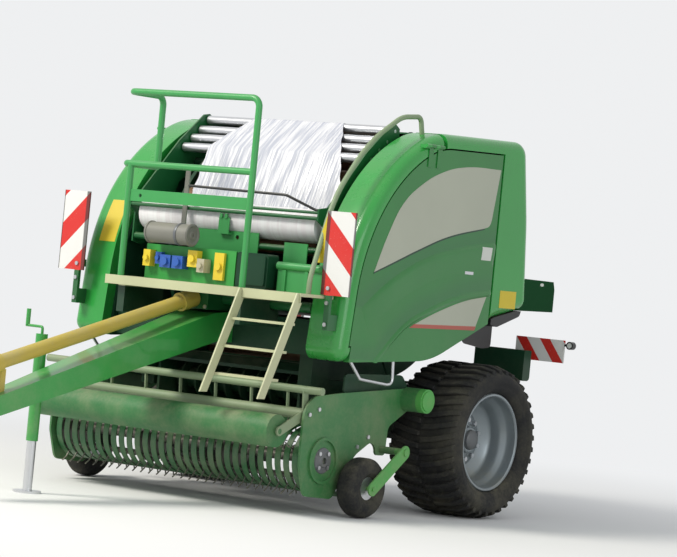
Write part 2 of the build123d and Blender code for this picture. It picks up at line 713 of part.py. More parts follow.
def gauge_wheel():
    """Left gauge wheel with its rounded tread."""
    middle = (GAUGE_X[0] + GAUGE_X[1]) / 2
    half = (GAUGE_X[1] - GAUGE_X[0]) / 2
    hole = GAUGE_PIN_R + SEAT
    profile = [(-half + 22, 60), (-half, GAUGE_R - 40), (-half + 30, GAUGE_R), (half - 30, GAUGE_R),
               (half, GAUGE_R - 40), (half - 22, 60), (half - 22, hole), (-half + 22, hole)]
    return Pos(middle, *GAUGE) * facet_ring(profile, GAUGE_SIDES)


def rotor_housing():
    """Feed housing between the pickup and the chamber."""
    view = Polygon(*HOUSING, align=None)
    hollow = Polygon(*HOUSING_BORE, align=None)
    housing = slab(view, (SEAT - WALL_X[0], WALL_X[0] - SEAT)) - slab(hollow, (-600, 600))
    rotor = bar((-601, 601), (-1000, 760), 70)
    for x in range(-520, 521, 130):
        rotor += bar((x - 8, x + 8), (-1000, 760), 125)
    return housing + rotor


def platform():
    """Step plate across the front with a turned-down edge."""
    floor = box(FLOOR_X, FLOOR_Y, FLOOR_Z)
    floor += box(FLOOR_X, (FLOOR_Y[0], FLOOR_Y[0] + 8), (FLOOR_Z[0] - 40, FLOOR_Z[1]))
    for x in (-500, 500):
        floor += box((x - 30, x + 30), (FLOOR_Y[0] + 60, CROSS_Y[0] - SEAT), (1180, FLOOR_Z[0] + 1))
    return floor - bar((400, 600), (GEAR_Y[1] - 60, 1330), 45)


def guard_rail():
    """Bent tubes round the platform."""
    z0 = FLOOR_Z[1] + SEAT
    right, left = RAIL_X
    top = [(left, RAIL_Y, z0), (left, RAIL_Y, RAIL_TOP), (right, RAIL_Y, RAIL_TOP),
           (right, RAIL_BACK_Y, RAIL_TOP), (right, RAIL_BACK_Y, RAIL_MID)]
    middle = [(left - 1, RAIL_Y, RAIL_MID), (right, RAIL_Y, RAIL_MID), (right, RAIL_BACK_Y, RAIL_MID)]
    rail = tube(top, RAIL_R, RAIL_BEND) + tube(middle, RAIL_R, RAIL_BEND)
    return rail + post(RAIL_POST_X, RAIL_Y, (z0, RAIL_MID), RAIL_R)


def grab_rail():
    """Long bow beside the ladder, up and over the top of the cover, where its end turns down."""
    line = [(GRAB_X, y, z) for y, z, bend in GRAB_RAIL]
    bends = [bend for y, z, bend in GRAB_RAIL[1:-1]]
    path = FilletPolyline(*line, radius=bends)
    bow = sweep(Plane(origin=Vector(*line[0]), z_dir=path % 0) * Circle(GRAB_R), path=path)
    return bow - slab(crown(), (GRAB_X - 80, GRAB_X + 80))


def ladder():
    """Two rails and their rungs."""
    top = FLOOR_Z[1]
    rails = []
    for x in (565, 1035):
        side = Polygon((FLOOR_Y[0] + 60, top + SEAT), (FLOOR_Y[0] - 20, top + SEAT), (-2235, 740),
                       (-2165, 740), align=None)
        rails.append(slab(side, (x - 6, x + 6)))
    whole = rails[0] + rails[1]
    for height in (860, 1040, 1220):
        y = FLOOR_Y[0] + 20 - (top - height) / (top - 740) * 220
        whole += box((565, 1035), (y - 35, y + 35), (height - 8, height + 8))
    return whole - box(FLOOR_X, (FLOOR_Y[0] - SEAT, FLOOR_Y[1]), (FLOOR_Z[0] - 40 - SEAT, top + SEAT))


def film_cradle():
    """Cheek plates inside the bulkheads, with the cross tubes ahead of the roll."""
    view = Polygon((-680, 2300), (-690, 2575), (-730, 2600), (-790, 2590), (-1030, 2390), (-1400, 1990),
                   (-1495, 1975), (-1495, 1895), (-1430, 1860), (-1430, 1660), (-1340, 1640),
                   (-1150, 1720), (-1000, 2100), align=None)
    cheek = slab(view, CHEEK_X)
    for y, z in GUIDES:
        cheek -= bar((CHEEK_X[0] - 1, CHEEK_X[1] + 1), (y, z), GUIDE_PIN_R + SEAT)
    cheek -= bar((CHEEK_X[0] - 1, CHEEK_X[1] + 1), FILM_ROLL, CORE_R + SEAT)
    for angle in FRONT_STAYS:
        cheek -= bar((CHEEK_X[0] - 1, CHEEK_X[1] + 1), ring_place(angle), STAY_R + 8)
    for place in ((-1330, 1700), (-1080, 2150), (-900, 2300)):
        cheek += bar((CHEEK_X[1] - 1, CHEEK_ENDS), place, 22)
    cradle = cheek + mirror(cheek, Plane.YZ)
    for y, z, radius in BEAM_TUBES:
        cradle += bar((-CHEEK_X[0] - 1, CHEEK_X[0] + 1), (y, z), radius)
    return cradle


def roll_bracket():
    """Pierced plate and clamps on the lower cross tube, with the upright that carries the film rod."""
    y, z, radius = BEAM_TUBES[2]
    face = (y - radius - SEAT - 8, y - radius - SEAT)
    ahead = (face[0] - 38, face[0] - 30)
    plate = box((-300, 290), face, (z - 55, z + 85)) + box((-30, 60), (ahead[0], face[1]), (z + 60, z + 72))
    plate += box((-30, 60), ahead, (z + 60, z + 170))
    plate -= bar_y(110, (face[0] - 1, face[1] + 1), z + 45, 15)
    for x in (-20, 22):
        plate += box((x, x + 20), (ahead[0] - 8, ahead[1]), (z + 165, z + 196))
    upright = box((ROD_X - 18, ROD_X + 18), (ROD_Y[0] - 5, ROD_Y[0] + 5), (z - 40, RAIL_MID - 5))
    foot = box((ROD_X - 18, -299), (ROD_Y[0], face[1]), (z - 40, z))
    return plate + upright + foot


def guide_rollers():
    """Bright rollers that lead the film."""
    pieces = []
    for place in GUIDES:
        pieces.append(bar((-GUIDE_X, GUIDE_X), place, GUIDE_R)
                      + bar((-CHEEK_X[1], CHEEK_X[1]), place, GUIDE_PIN_R))
    return pieces


def film_roll():
    """Roll of film on its core."""
    core = bar((-CHEEK_X[1], CHEEK_X[1]), FILM_ROLL, CORE_R)
    return core + bar((-FILM_ROLL_X, FILM_ROLL_X), FILM_ROLL, FILM_ROLL_R)


def tangent_run(first, second, radii):
    """Places where one straight run touches two rollers; a minus radius is touched on its rear side."""
    run = Vector(second[0] - first[0], second[1] - first[1])
    lean = degrees(atan2(run.Y, run.X) + acos((radii[0] - radii[1]) / run.length))
    side = (cos(radians(lean)), sin(radians(lean)))
    ends = ((first, radii[0]), (second, radii[1]))
    return [(place[0] + r * side[0], place[1] + r * side[1]) for place, r in ends]


def film_web():
    """Film from the roll over the first and last guide rollers, narrower towards the chamber."""
    on_roll, on_guide = FILM_ROLL_R + FILM_GAP, GUIDE_R + FILM_GAP
    low = tangent_run(FILM_ROLL, GUIDES[-1], (-on_roll - FILM_T, on_guide))
    high = tangent_run(GUIDES[-1], GUIDES[0], (on_guide, on_guide))
    last = Vector(*GUIDES[-1])
    middle = (Vector(*low[1]) + Vector(*high[0])) / 2 - last
    corner = last + middle * (on_guide / middle.length) ** 2
    over = (GUIDES[0][0] + 30, GUIDES[0][1] + on_guide + 1)
    top = (GUIDES[0][0] - 12, GUIDES[0][1] + on_guide + 2)
    path = [low[0], (corner.X, corner.Y), top, over]
    shifted = [(y - FILM_T * 0.75, z + FILM_T * 0.75) for y, z in reversed(path)]
    ribbon = slab(Polygon(*path, *shifted, align=None), (-FILM_ROLL_X, FILM_ROLL_X))
    right = [(low, z) for z, low, high in FILM_HALF]
    left = [(high, z) for z, low, high in reversed(FILM_HALF)]
    return ribbon & extrude(Plane.XZ * Polygon(*right, *left, align=None), 3000, both=True)


def film_rod():
    """Bent black rod across the front of the film."""
    free, held = ROD_Y
    return tube([(ROD_X + 18 + SEAT, free, ROD_Z[0]), (540, free, ROD_Z[0] - 12), (740, held, ROD_Z[1]),
                 (CHEEK_X[0] - SEAT, held, ROD_Z[1])], 9, 60)


def toe_board():
    """Plate between two posts of the guard rail."""
    ends = (RAIL_POST_X + RAIL_R + SEAT, RAIL_X[1] - RAIL_R - SEAT)
    board = box(ends, (RAIL_Y - 4, RAIL_Y + 4), TOE_Z)
    hole = Pos(ends[0] + 85, RAIL_Y, sum(TOE_Z) / 2) * Rot(90, 0, 0) * Cylinder(13, 20)
    return board - hole


def canister():
    """Cylindrical tank in front of the roll bracket, on an arm to its upright."""
    tank = bar(CANISTER_X, CANISTER, CANISTER_R)
    for x in CANISTER_X:
        tank += bar((x - 6, x + 6), CANISTER, CANISTER_R + 5)
    upright = (ROD_X - 18, ROD_X + 18)
    return tank + box(upright, (CANISTER[0] + 30, ROD_Y[0] - 5 - SEAT), (CANISTER[1] - 20, CANISTER[1] + 20))


def valve_block():
    """Base plate of the valve bank, with its valves and plugs."""
    base = box((-440, 330), (VALVE_Y, VALVE_Y + 10), (FLOOR_Z[1] + SEAT, 1650))
    base += box((-440, 330), (VALVE_Y, VALVE_Y + 60), (FLOOR_Z[1] + SEAT, FLOOR_Z[1] + 12))
    for x, width, low, high, depth in VALVES:
        base += box((x - width / 2, x + width / 2), (VALVE_Y - depth, VALVE_Y + 1), (low, high))
        plug = (VALVE_Y - depth - 18, VALVE_Y - depth + 1)
        base += bar_y(x, plug, (low + high) / 2, min(width, high - low) * 0.32)
    return base


def control_box():
    """Controls behind the ladder: a dark case with rounded edges and its cover."""
    case = box((340, 600), (-1700, -1590), (FLOOR_Z[1] + SEAT, 1650))
    case = fillet(case.edges().filter_by(Axis.Y), 22)
    lid = box((355, 585), (-1712, -1699), (1440, 1635))
    return case + fillet(lid.edges().filter_by(Axis.Y), 16)


def side_box():
    """Boxed plates at the platform's left end, with the tube along their top."""
    box_side = box((640, 1040), (-1640, -1560), (FLOOR_Z[1] + SEAT, 1560))
    box_side -= box((650, 1030), (-1632, -1500), (FLOOR_Z[1] + 10, 1550))
    for x in (700, 880):
        box_side += box((x - 14, x + 14), (-1652, -1639), (FLOOR_Z[1] + SEAT, 1560))
    box_side += bar((640, 1015), (-1640, 1585), 26)
    upper = box((610, 800), (-1560.5, -1552), (1540, 1740))
    return box_side + upper


def front_boards():
    """Striped warning boards beside the front of the covers."""
    plate = box((1020, 1250), (-1665, -1655), (1425, 1965))
    plate += box((1060, 1100), (-1656, -1595), (1450, 1500)) + box((1060, 1100), (-1656, -1565), (1200, 1300))
    plate += box((1060, 1100), (-1665, -1640), (1200, 1500))
    return both(plate - slab(crown(), (880, 1150)))


def rear_boards():
    """Striped warning boards behind the wheels, on arms of the rear boxes."""
    board = box(REAR_BOARD_X, (760, 770), REAR_BOARD_Z)
    arm = box((970, 1010), (REAR_BEAM_Y[1] + SEAT, 761), (1100, 1125)) + box(
        (940, 1110), (REAR_BEAM_Y[1] + SEAT, REAR_BEAM_Y[1] + 8), (1060, 1145))
    return both(board + arm)


def rear_lamps():
    """Round marker lamps on stalks outside the rear boards, and the lamp clusters on the rear boxes."""
    y, z = 765, REAR_BOARD_Z[1] - 33
    end = REAR_BOARD_X[1]
    marker = bar((end + SEAT, end + 30), (y, z), 9) + bar_y(end + 50, (y - 22, y + 22), z, 28)
    cluster = box((750, 930), (REAR_BEAM_Y[1] + SEAT, REAR_BEAM_Y[1] + 45), (990, 1090))
    cluster = fillet(cluster.edges().filter_by(Axis.Y), 18)
    return both(marker) + both(cluster)


def bale_ramp():
    """Bent tube behind the rear beam, for the bale to roll over."""
    beam = REAR_BEAM_Y[1]
    side = [(RAMP_X, beam + 25, 760), (RAMP_X, beam + 120, 640), (RAMP_X, beam + 240, 480)]
    ramp = tube([(-x, y, z) for x, y, z in side] + side[::-1], 22, 60)
    for x in (-RAMP_X, RAMP_X):
        ramp += box((x - 40, x + 40), (beam + SEAT, beam + 40), (730, 800))
    return ramp


def tail_skin():
    """Sheet over the top and back of the tailgate between its bulkheads."""
    view = inside(crown(), BULKHEAD_IN)
    ring = view - inside(view, SKIN_T)
    keep = Polygon((SPLIT_Y + 60, 3000), (SPLIT_Y + 60, 2200), (300, 2200), (380, 1400), (900, 1400),
                   (900, 3000), align=None)
    edge = BULKHEAD_X[0] - SEAT
    return slab(ring & keep, (-edge, edge))


def tail_edge():
    """Black edge bar along the tailgate's rear lower corner, and the skirt before it."""
    under = offset(crown(), SEAT)
    bar_view = rounded(((170, 1400, 5), (170, 1318, 10), (250, 1306, 40), (520, 1392, 40), (548, 1470, 5)))
    edge = slab(bar_view, (1040, 1120)) - slab(under, (1000, 1200))
    edge -= box((1000, 1200), (BUMPER[0][0], BUMPER[3][0]), (BUMPER[0][1] - SEAT, BUMPER[1][1]))
    corners = ((-60, 1330, 5), (-60, 1180, 60), (200, 1150, 60), (300, 1160, 30), (300, 1420, 5))
    skirt = slab(rounded(corners), (1041, 1049))
    return edge + (skirt - slab(under, (1000, 1200)))


def tail_bumper():
    """Box across the back of the tailgate that carries its lamps."""
    view = Polygon(*BUMPER, align=None)
    front = Polygon((400, 1440), (400, 1650), (500, 1650), (500, 1440), align=None)
    hollow = slab(inside(view, BUMPER_WALL) + front, (BUMPER_WALL - 1100, 1100 - BUMPER_WALL))
    return slab(view, (-1100, 1100)) - hollow - slab(offset(crown(), SEAT), (-1200, 1200))


def build():
    """Make and write every piece."""
    os.makedirs("parts", exist_ok=True)
    block = cover_block()
    write("chassis_frame", chassis())
    write("axle_beam", axle())
    write("rotor_housing", rotor_housing())
    write("drawbar", drawbar())
    write("tow_eye", tow_eye())
    write("gearbox", gearbox())
    write("driveline", driveline())
    write("jack_tube", jack_tube())
    write("jack_leg", jack_leg())

    write("front_walls", *both(walls(True) + hinge_lug()))
    write("front_rollers", *rollers(FRONT_ROLLERS))
    write("tailgate_walls", *both(walls(False)))
    write("tailgate_rollers", *rollers(TAIL_ROLLERS))
    write("tailgate_skin", tail_skin())
    write("front_arch", *both(front_arch(block)))
    write("tail_arch", *both(tail_arch(block)))
    write("tailgate_bumper", tail_bumper())
    write("tailgate_edge", *both(tail_edge()))

    leaf = door()
    write("door_left", leaf)
    write("door_right", mirror(leaf, Plane.YZ))
    handle = door_handle()
    write("door_left_handle", handle)
    write("door_right_handle", mirror(handle, Plane.YZ))

    for name, piece in (("tyre", tyre()), ("rim", rim())):
        write(f"wheel_left_{name}", piece)
        write(f"wheel_right_{name}", mirror(piece, Plane.YZ))

    write("pickup_frame", *pickup_frame())
    write("pickup_strippers", pickup_strippers())
    reel, tines = pickup_reel()
    write("pickup_reel", reel.fuse(*tines))
    write("crop_roller", crop_roller())
    write("wind_guard", wind_guard())
    wheel = gauge_wheel()
    write("gauge_wheel_left", wheel)
    write("gauge_wheel_right", mirror(wheel, Plane.YZ))

    write("platform", platform())
    write("guard_rail", guard_rail())
    write("grab_rail", grab_rail())
    write("ladder", ladder())
    write("film_cradle", film_cradle())
    write("roll_bracket", roll_bracket())
    write("guide_rollers", *guide_rollers())
    write("film_roll", film_roll())
    write("film_web", film_web())
    write("film_rod", film_rod())
    write("toe_board", toe_board())
    write("canister", canister())
    write("valve_block", valve_block())
    write("control_box", control_box())
    write("side_box", side_box())
    write("front_boards", *front_boards())
    write("rear_boards", *rear_boards())
    write("rear_lamps", *rear_lamps())
    write("bale_ramp", bale_ramp())


build()
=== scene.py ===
"""Looks of the towed round baler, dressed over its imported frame.

Lengths are in metres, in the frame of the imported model: z = 0 is the ground, +X the machine's left side,
-Y its towing end and y = AXLE_Y its wheel axle.
"""
from functools import partial
from math import asin, atan2, cos, pi, radians, sin

import bpy
from mathutils import Matrix, Vector


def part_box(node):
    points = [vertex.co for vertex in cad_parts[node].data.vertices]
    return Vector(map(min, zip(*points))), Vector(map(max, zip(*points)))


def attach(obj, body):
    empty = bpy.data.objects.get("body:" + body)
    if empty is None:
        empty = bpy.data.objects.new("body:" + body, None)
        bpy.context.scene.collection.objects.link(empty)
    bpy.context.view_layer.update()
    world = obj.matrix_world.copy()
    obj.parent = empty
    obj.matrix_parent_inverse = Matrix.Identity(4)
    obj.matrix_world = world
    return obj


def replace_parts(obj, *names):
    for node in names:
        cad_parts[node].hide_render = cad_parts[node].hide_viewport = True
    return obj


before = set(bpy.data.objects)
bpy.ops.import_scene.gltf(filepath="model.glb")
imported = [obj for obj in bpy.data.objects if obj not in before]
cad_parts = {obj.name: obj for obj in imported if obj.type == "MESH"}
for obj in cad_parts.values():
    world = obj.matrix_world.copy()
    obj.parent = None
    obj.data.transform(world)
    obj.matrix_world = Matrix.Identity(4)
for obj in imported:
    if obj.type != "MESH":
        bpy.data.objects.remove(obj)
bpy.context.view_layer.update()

AXLE_Y = 1.480
AXLE_Z = 0.525
AXLE = (AXLE_Y, AXLE_Z)
SIDES = ((1, "left"), (-1, "right"))

# Camera, from the photograph's fit: place, turn to the left, tilt, roll and focal length
CAMERA_AT = (12.6391, -17.0184 + AXLE_Y, 1.5732)
CAMERA_TURN = radians(36.7995)
CAMERA_TILT = radians(-0.1035)
CAMERA_ROLL = radians(5.5092)
PHOTO_WIDTH = 677
FOCAL_PIXELS = 3000
SENSOR = 36.0
FLOOR_SIZE = 400
FLOOR_FADE = (2.5, 9.0)           # the floor fades into the background between these distances
LIGHT_AIM = (0, 0, 1.2)

# Colours, as linear values
GREEN = (0.022, 0.300, 0.045)
DEEP_GREEN = (0.010, 0.110, 0.030)
DARK_GREEN = (0.006, 0.045, 0.020)
# Doors in a darker green than the arch: painted shade
SHADED_DOOR_GREEN = (0.014, 0.185, 0.028)
RAIL_GREEN = (0.045, 0.310, 0.080)
GREY_GREEN = (0.22, 0.30, 0.17)
# Dusty green of the crop roller, deepened in part as a painted cast shadow
DUSTY_SHADOWED_GREEN = (0.030, 0.17, 0.050)
PICKUP_GREEN = (0.036, 0.18, 0.050)
PIVOT_GREEN = (0.060, 0.36, 0.060)
BUMPER_GREEN = (0.002, 0.050, 0.012)
BLACK = (0.014, 0.015, 0.016)
RUBBER = (0.014, 0.015, 0.017)
STEEL = (0.62, 0.63, 0.65)
ROLLER_STEEL = (0.25, 0.24, 0.22)
RIM_SILVER = (0.27, 0.31, 0.33)
CAST_GREY = (0.13, 0.14, 0.15)
GREY = (0.18, 0.18, 0.155)
RUST = (0.17, 0.085, 0.04)
# Panel grey, darkened and given a green cast as painted shade
SHADED_OFF_WHITE = (0.41, 0.43, 0.34)
LABEL_WHITE = (0.66, 0.68, 0.62)
BOARD_WHITE = (0.72, 0.72, 0.70)
LENS_WHITE = (0.62, 0.64, 0.62)
# Pale cream of the ladder and of the platform's top: a painted highlight of sunlight
HIGHLIGHT_CREAM = (0.52, 0.54, 0.33)
VALVE_BEIGE = (0.45, 0.42, 0.30)
# Bluish grey between the stretch film's folds: painted shade
FILM_PAINTED_SHADE = (0.44, 0.46, 0.53)
FILM_WHITE = (0.74, 0.74, 0.76)
ROLL_SHADE = (0.77, 0.74, 0.76)
ROLL_WHITE = (0.84, 0.84, 0.85)
BLUE = (0.02, 0.10, 0.42)
RED = (0.60, 0.018, 0.014)
FADED_RED = (0.42, 0.10, 0.07)
LAMP_AMBER = (0.70, 0.20, 0.01)
YELLOW = (0.74, 0.56, 0.03)
# Yellow of the plates, darker than the valves' yellow: partly painted shade
SHADED_PLATE_YELLOW = (0.62, 0.48, 0.02)
GUARD_YELLOW = (0.50, 0.38, 0.05)
DUST = (0.36, 0.33, 0.22)
MID_GREY = (0.5, 0.5, 0.5)
FLOOR_WHITE = (0.80, 0.80, 0.79)
BACKGROUND = (0.86, 0.87, 0.88)
SKY = (0.93, 0.96, 1.0)

# Doors: their face's distance from the middle, and what lies on it, as (y from the axle, z).
# The third item of an outline's point is r for a round point and v for a corner.
DOOR_FACE = 1.150
DOOR_BACK, DOOR_FOOT = 0.086, 1.012          # the ridges end before these edges
DOOR_CREASES = (
    ((-1.38, 1.36), (-1.1, 1.55), (-0.75, 1.71), (-0.4, 1.80), (0.1, 1.88)),
    ((-1.2, 1.02), (-0.9, 1.27), (-0.6, 1.40), (-0.3, 1.49), (0.1, 1.55)),
)
CREASE_LOW, CREASE_SPAN = 1.0, 2.0           # heights that the creases' curves cover
UPPER_PANEL = (
    (-1.284, 1.602, "v"), (-1.162, 1.864, "r"), (-1.029, 2.068, "r"), (-0.842, 2.206, "r"), (-0.601, 2.312, "r"),
    (-0.346, 2.365, "r"), (0.075, 2.382, "v"), (0.018, 2.035, "v"), (-0.004, 1.992, "r"), (-0.060, 1.971, "v"),
    (-0.485, 1.885, "r"), (-0.812, 1.777, "r"), (-1.089, 1.674, "r"),
)
UPPER_LINE = (
    UPPER_PANEL[0], *UPPER_PANEL[:8:-1], (-0.058, 1.962, "v"), (-0.483, 1.874, "r"), (-0.809, 1.766, "r"),
    (-1.086, 1.663, "r"), (-1.290, 1.590, "v"),
)
LOWER_PANEL = (
    (0.040, 1.508, "v"), (-0.193, 1.470, "r"), (-0.447, 1.401, "r"), (-0.693, 1.316, "r"), (-0.833, 1.259, "v"),
    (-0.070, 1.273, "v"),
)
LOWER_STRIPE = ((-0.833, 1.258, "v"), (-0.070, 1.272, "v"), (-0.055, 1.300, "v"), (-0.780, 1.284, "v"))
LATCH = ((-0.245, 1.648, "v"), (-0.145, 1.648, "v"), (-0.145, 1.668, "v"), (-0.245, 1.668, "v"))
LABEL_Y, LABEL_Z = (-0.075, 0.045), (1.755, 1.845)

# Flat pieces of a door: name, outline, distance out from its face, thickness, finish, slot
DOOR_PLATES = (
    ("upper_panel", UPPER_PANEL, 0.0008, 0.0012, "panel", "board"),
    ("lower_panel", LOWER_PANEL, 0.0008, 0.0012, "panel", "board"),
    ("panel_line", UPPER_LINE, 0.0012, 0.0014, "line", "dark_green_paint"),
    ("stripe", LOWER_STRIPE, 0.0014, 0.0012, "stripe", "board"),
    ("latch", LATCH, 0.0010, 0.0020, "steel", "bright_steel"),
)

# Door ridges: (distance up from the crease, height)
SWAGE_PROFILES = (
    ((0.006, 0.0), (-0.001, 0.003), (-0.010, 0.0085), (-0.020, 0.011), (-0.035, 0.0105), (-0.060, 0.009),
     (-0.100, 0.005), (-0.140, 0.0015), (-0.165, 0.0)),
    ((0.006, 0.0), (-0.001, 0.003), (-0.008, 0.008), (-0.014, 0.009), (-0.020, 0.0075), (-0.028, 0.003),
     (-0.034, 0.0)),
)
RIDGE_COLUMNS = 72
RIDGE_FADES = (0.25, 0.02)        # shares of its length in which a ridge rises in front and falls behind
PRESSED_SHEET = 0.002             # thickness of ridges and ribs
SHEET_LAP = 0.0006                # how far their middle lies behind the face that they stand on

# Where sheets start that are laid: beside a door, behind the tailgate, in front of the right cover
BESIDE_DOOR, BEHIND_TAILGATE, BEFORE_COVER = 1.2, 2.4, -0.27

# Tailgate: yellow side plate and a pale patch, painted light of the sky seen through a hole in the bumper (y from
# the axle, z), and the back sheet's ribs
TAIL_PLATE = ((0.205, 1.440, "v"), (0.405, 1.440, "v"), (0.405, 1.560, "v"), (0.205, 1.560, "v"))
BUMPER_HOLE_LIGHT = ((0.778, 1.627, "r"), (0.800, 1.616, "r"), (0.822, 1.627, "r"), (0.800, 1.638, "r"))
BUMPER_HOLE_LIGHT_X = 1.1006
RIB_X = 0.430
RIB_HALF = 0.060
RIB_Z = (1.560, 2.300)
RIB_RISE = 0.016
RIB_FLANK = 2.2

# Yellow plates beside the front boards, in x and z
PLATE_X, PLATE_Z = (0.895, 1.035), (1.640, 1.930)
LEFT_TAB = ((0.923, 1.628, "v"), (1.032, 1.628, "v"), (1.032, 1.930, "v"), (1.010, 1.930, "v"))
LEFT_TAB_Y = -1.654

# Canister's middle (y, z) with (x, radius) of its strap and end cap, and the valve bank
CANISTER = (-1.790 + AXLE_Y, 1.728)
STRAP_X, CAP_X = -0.080, 0.016
STRAP = [(-0.010, 0.0695), (-0.010, 0.0738), (-0.006, 0.0750), (0.006, 0.0750), (0.010, 0.0738), (0.010, 0.0695)]
END_CAP = [(-0.001, 0.010), (0.006, 0.010), (0.008, 0.014), (0.008, 0.022), (0.002, 0.028), (0.001, 0.050),
           (0.006, 0.056), (0.008, 0.064), (0.004, 0.072), (-0.001, 0.073)]
VALVE_FACE = -1.700 + AXLE_Y
VALVE_BANDS = (                   # from x, to x, colour
    (-0.45, -0.345, YELLOW), (-0.335, -0.16, BLUE), (-0.155, -0.06, BLUE), (-0.035, 0.05, YELLOW),
    (0.06, 0.13, VALVE_BEIGE), (0.165, 0.255, YELLOW),
)

# Rear lamps: a marker's lens (distance from the middle, height) and radius, then distances from the middle
MARKER_AT, LENS_RADIUS = (1.412, 1.222), 0.019
AMBER_FROM, MARKERS_FROM = 0.870, 1.15
LENS_RIBS = 140.0                 # in a metre
BOARD_DEPTH = 0.006               # a warning board's sheet lies within this of its face


def mirror(profile):
    """Other half of a profile of (x, radius) points."""
    return [(-x, radius) for x, radius in reversed(profile)]


# Wheels: (x from the tyre's middle towards its outside, radius)
TYRE_X = 1.095
RIM_PROFILE = [
    (-0.202, 0.317), (-0.202, 0.3365), (0.200, 0.3365), (0.222, 0.3355), (0.230, 0.329), (0.230, 0.318),
    (0.222, 0.312), (0.196, 0.310), (0.165, 0.307), (0.150, 0.300), (0.128, 0.283), (0.105, 0.274), (0.060, 0.270),
    (0.044, 0.266), (0.030, 0.252), (0.000, 0.205), (-0.006, 0.190), (0.004, 0.175), (0.012, 0.150), (0.012, 0.100),
    (0.020, 0.092), (0.055, 0.088), (0.060, 0.082), (0.060, 0.0453), (-0.006, 0.0453), (-0.006, 0.096),
    (-0.032, 0.195), (-0.020, 0.285), (-0.150, 0.291),
]
HUB_PROFILE = [
    (0.058, 0.0460), (0.058, 0.070), (0.080, 0.066), (0.092, 0.052), (0.097, 0.030), (0.098, 0.001), (0.093, 0.001),
    (0.090, 0.0455),
]
TYRE_SHOULDER = [(-0.276, 0.410), (-0.279, 0.432), (-0.274, 0.455), (-0.258, 0.474), (-0.235, 0.487),
                 (-0.200, 0.496), (-0.140, 0.4995)]
TYRE_PROFILE = [
    (-0.200, 0.338), (-0.238, 0.345), (-0.262, 0.372), *TYRE_SHOULDER, (0.0, 0.5005), *mirror(TYRE_SHOULDER),
    (0.268, 0.398), (0.266, 0.388), (0.262, 0.372), (0.250, 0.356), (0.238, 0.345), (0.226, 0.340), (0.200, 0.338),
]
LUGS = 38                         # in each of a tyre's two rows
LUG_PLACE = (0.135, 0.500)        # middle of a lug: from the tyre's middle, from the axle
LUG_SIZE = (0.255, 0.034, 0.048)
LUG_SWEEP, LUG_REACH, LUG_SHIFT = 0.055, 0.262, 0.012
SHOULDER, SHOULDER_WIDTH, SHOULDER_DROP = 0.17, 0.0925, 0.030
LUG_ROOT, ROOT_DROP = 0.480, 0.020           # what lies lower than the root at the shoulder goes into the tyre
NUTS = 10
NUT_CIRCLE = 0.135
NUT_X, NUT_RADIUS, NUT_DEPTH = 0.022, 0.017, 0.022
STUD_INSET, STUD_LENGTH = 0.006, 0.012

# Reel bearings: face of the pickup's side plate, reel's axis (y, z) and flange (x from that face, radius)
PICKUP_FACE = 1.078
REEL_AT = (-1.550 + AXLE_Y, 0.360)
BEARING_FLANGE = [(-0.001, 0.022), (-0.001, 0.086), (0.007, 0.082), (0.009, 0.046), (0.018, 0.038), (0.018, 0.022)]
FLANGE_BOLTS = [(PICKUP_FACE + 0.007, -1.550 + 0.064 * cos(turn), 0.360 + 0.064 * sin(turn))
                for turn in (pi / 4 + pi / 2 * number for number in range(4))]

# Bolts on both sides: name, body, direction, size, places; x outwards, y from the axle, z
BOLTS = (
    ("reel_bearing_bolts", "pickup", (1, 0, 0), 0.010, FLANGE_BOLTS),
    ("pickup_plate_bolts", "pickup", (1, 0, 0), 0.010, [
        (PICKUP_FACE, y, z) for y, z in ((-1.640, 0.690), (-1.735, 0.655), (-1.190, 0.455), (-1.080, 0.520))]),
    ("board_bolts", "frame", (0, -1, 0), 0.010, [(1.080, -1.665, z) for z in (1.235, 1.375, 1.470)]),
    ("rear_bracket_bolts", "frame", (0, 1, 0), 0.007, [
        (x, 0.698, z) for x in (0.954, 1.096) for z in (1.074, 1.131)]),
    ("gearbox_bolts", "frame", (0, -1, 0), 0.010, [(0.102, -1.690, z) for z in (1.268, 1.378)]),
)
WASHER_DEPTH, WASHER_SUNK = 0.003, 0.0005

# Parts of a bolt, as shares of its size
WASHER, HEAD_INSET, HEAD_HEIGHT, HEAD_BEVEL, HEAD_CROWN = 1.35, 0.4, 0.7, 0.2, 0.08

# Film: roll, guide rollers (y from the axle, z) and the web's edges (z, right, left)
ROLL = (-1.340, 1.862)
ROLL_R = 0.112
GUIDES = ((-0.740, 2.555), (-0.820, 2.478), (-0.900, 2.414), (-0.982, 2.345))
GUIDE_R = 0.033
WEB_GAP = 0.0006
ROLL_GAP = 0.0100                 # room for the folds beside the roll
WEB_END = 0.9                     # direction, as an angle, in which the web leaves the upper roller
RUN_ROWS, TOP_ROWS, BEND_ROWS = 26, 18, 6
WEB_COLUMNS = 240
WEB_EDGES = ((1.700, -0.555, 0.755), (1.960, -0.555, 0.755), (2.360, -0.560, 0.590), (2.650, -0.330, 0.335))
FILM_THICKNESS = 0.0005
FOLDS = ((13, 0.0040, 0.3), (29, 0.0030, 1.9), (47, 0.0018, 0.7), (71, 0.0010, 2.6))     # count, height, turn
WANDER = ((0.018, 3.1), (0.006, 11))         # how folds wander across the web: share of its width, pace
RAGGED_EDGE = (0.006, 41)         # depth, pace
GRIPPED_FOLDS = 0.15              # share of the folds' height left where a roller holds the film
GRIP_FADE = 0.09                  # distance from a roller in which its hold fades


# Shader helpers

def feed(tree, value, socket):
    """A number, a colour or another socket goes into a socket."""
    if isinstance(value, bpy.types.NodeSocket):
        tree.links.new(value, socket)
    elif isinstance(value, tuple):
        socket.default_value = (*value, 1.0)
    else:
        socket.default_value = value


def plug(tree, node, **inputs):
    """Numbers, colours or sockets go into a node's named inputs."""
    for label, value in inputs.items():
        feed(tree, value, node.inputs[label.replace("_", " ")])


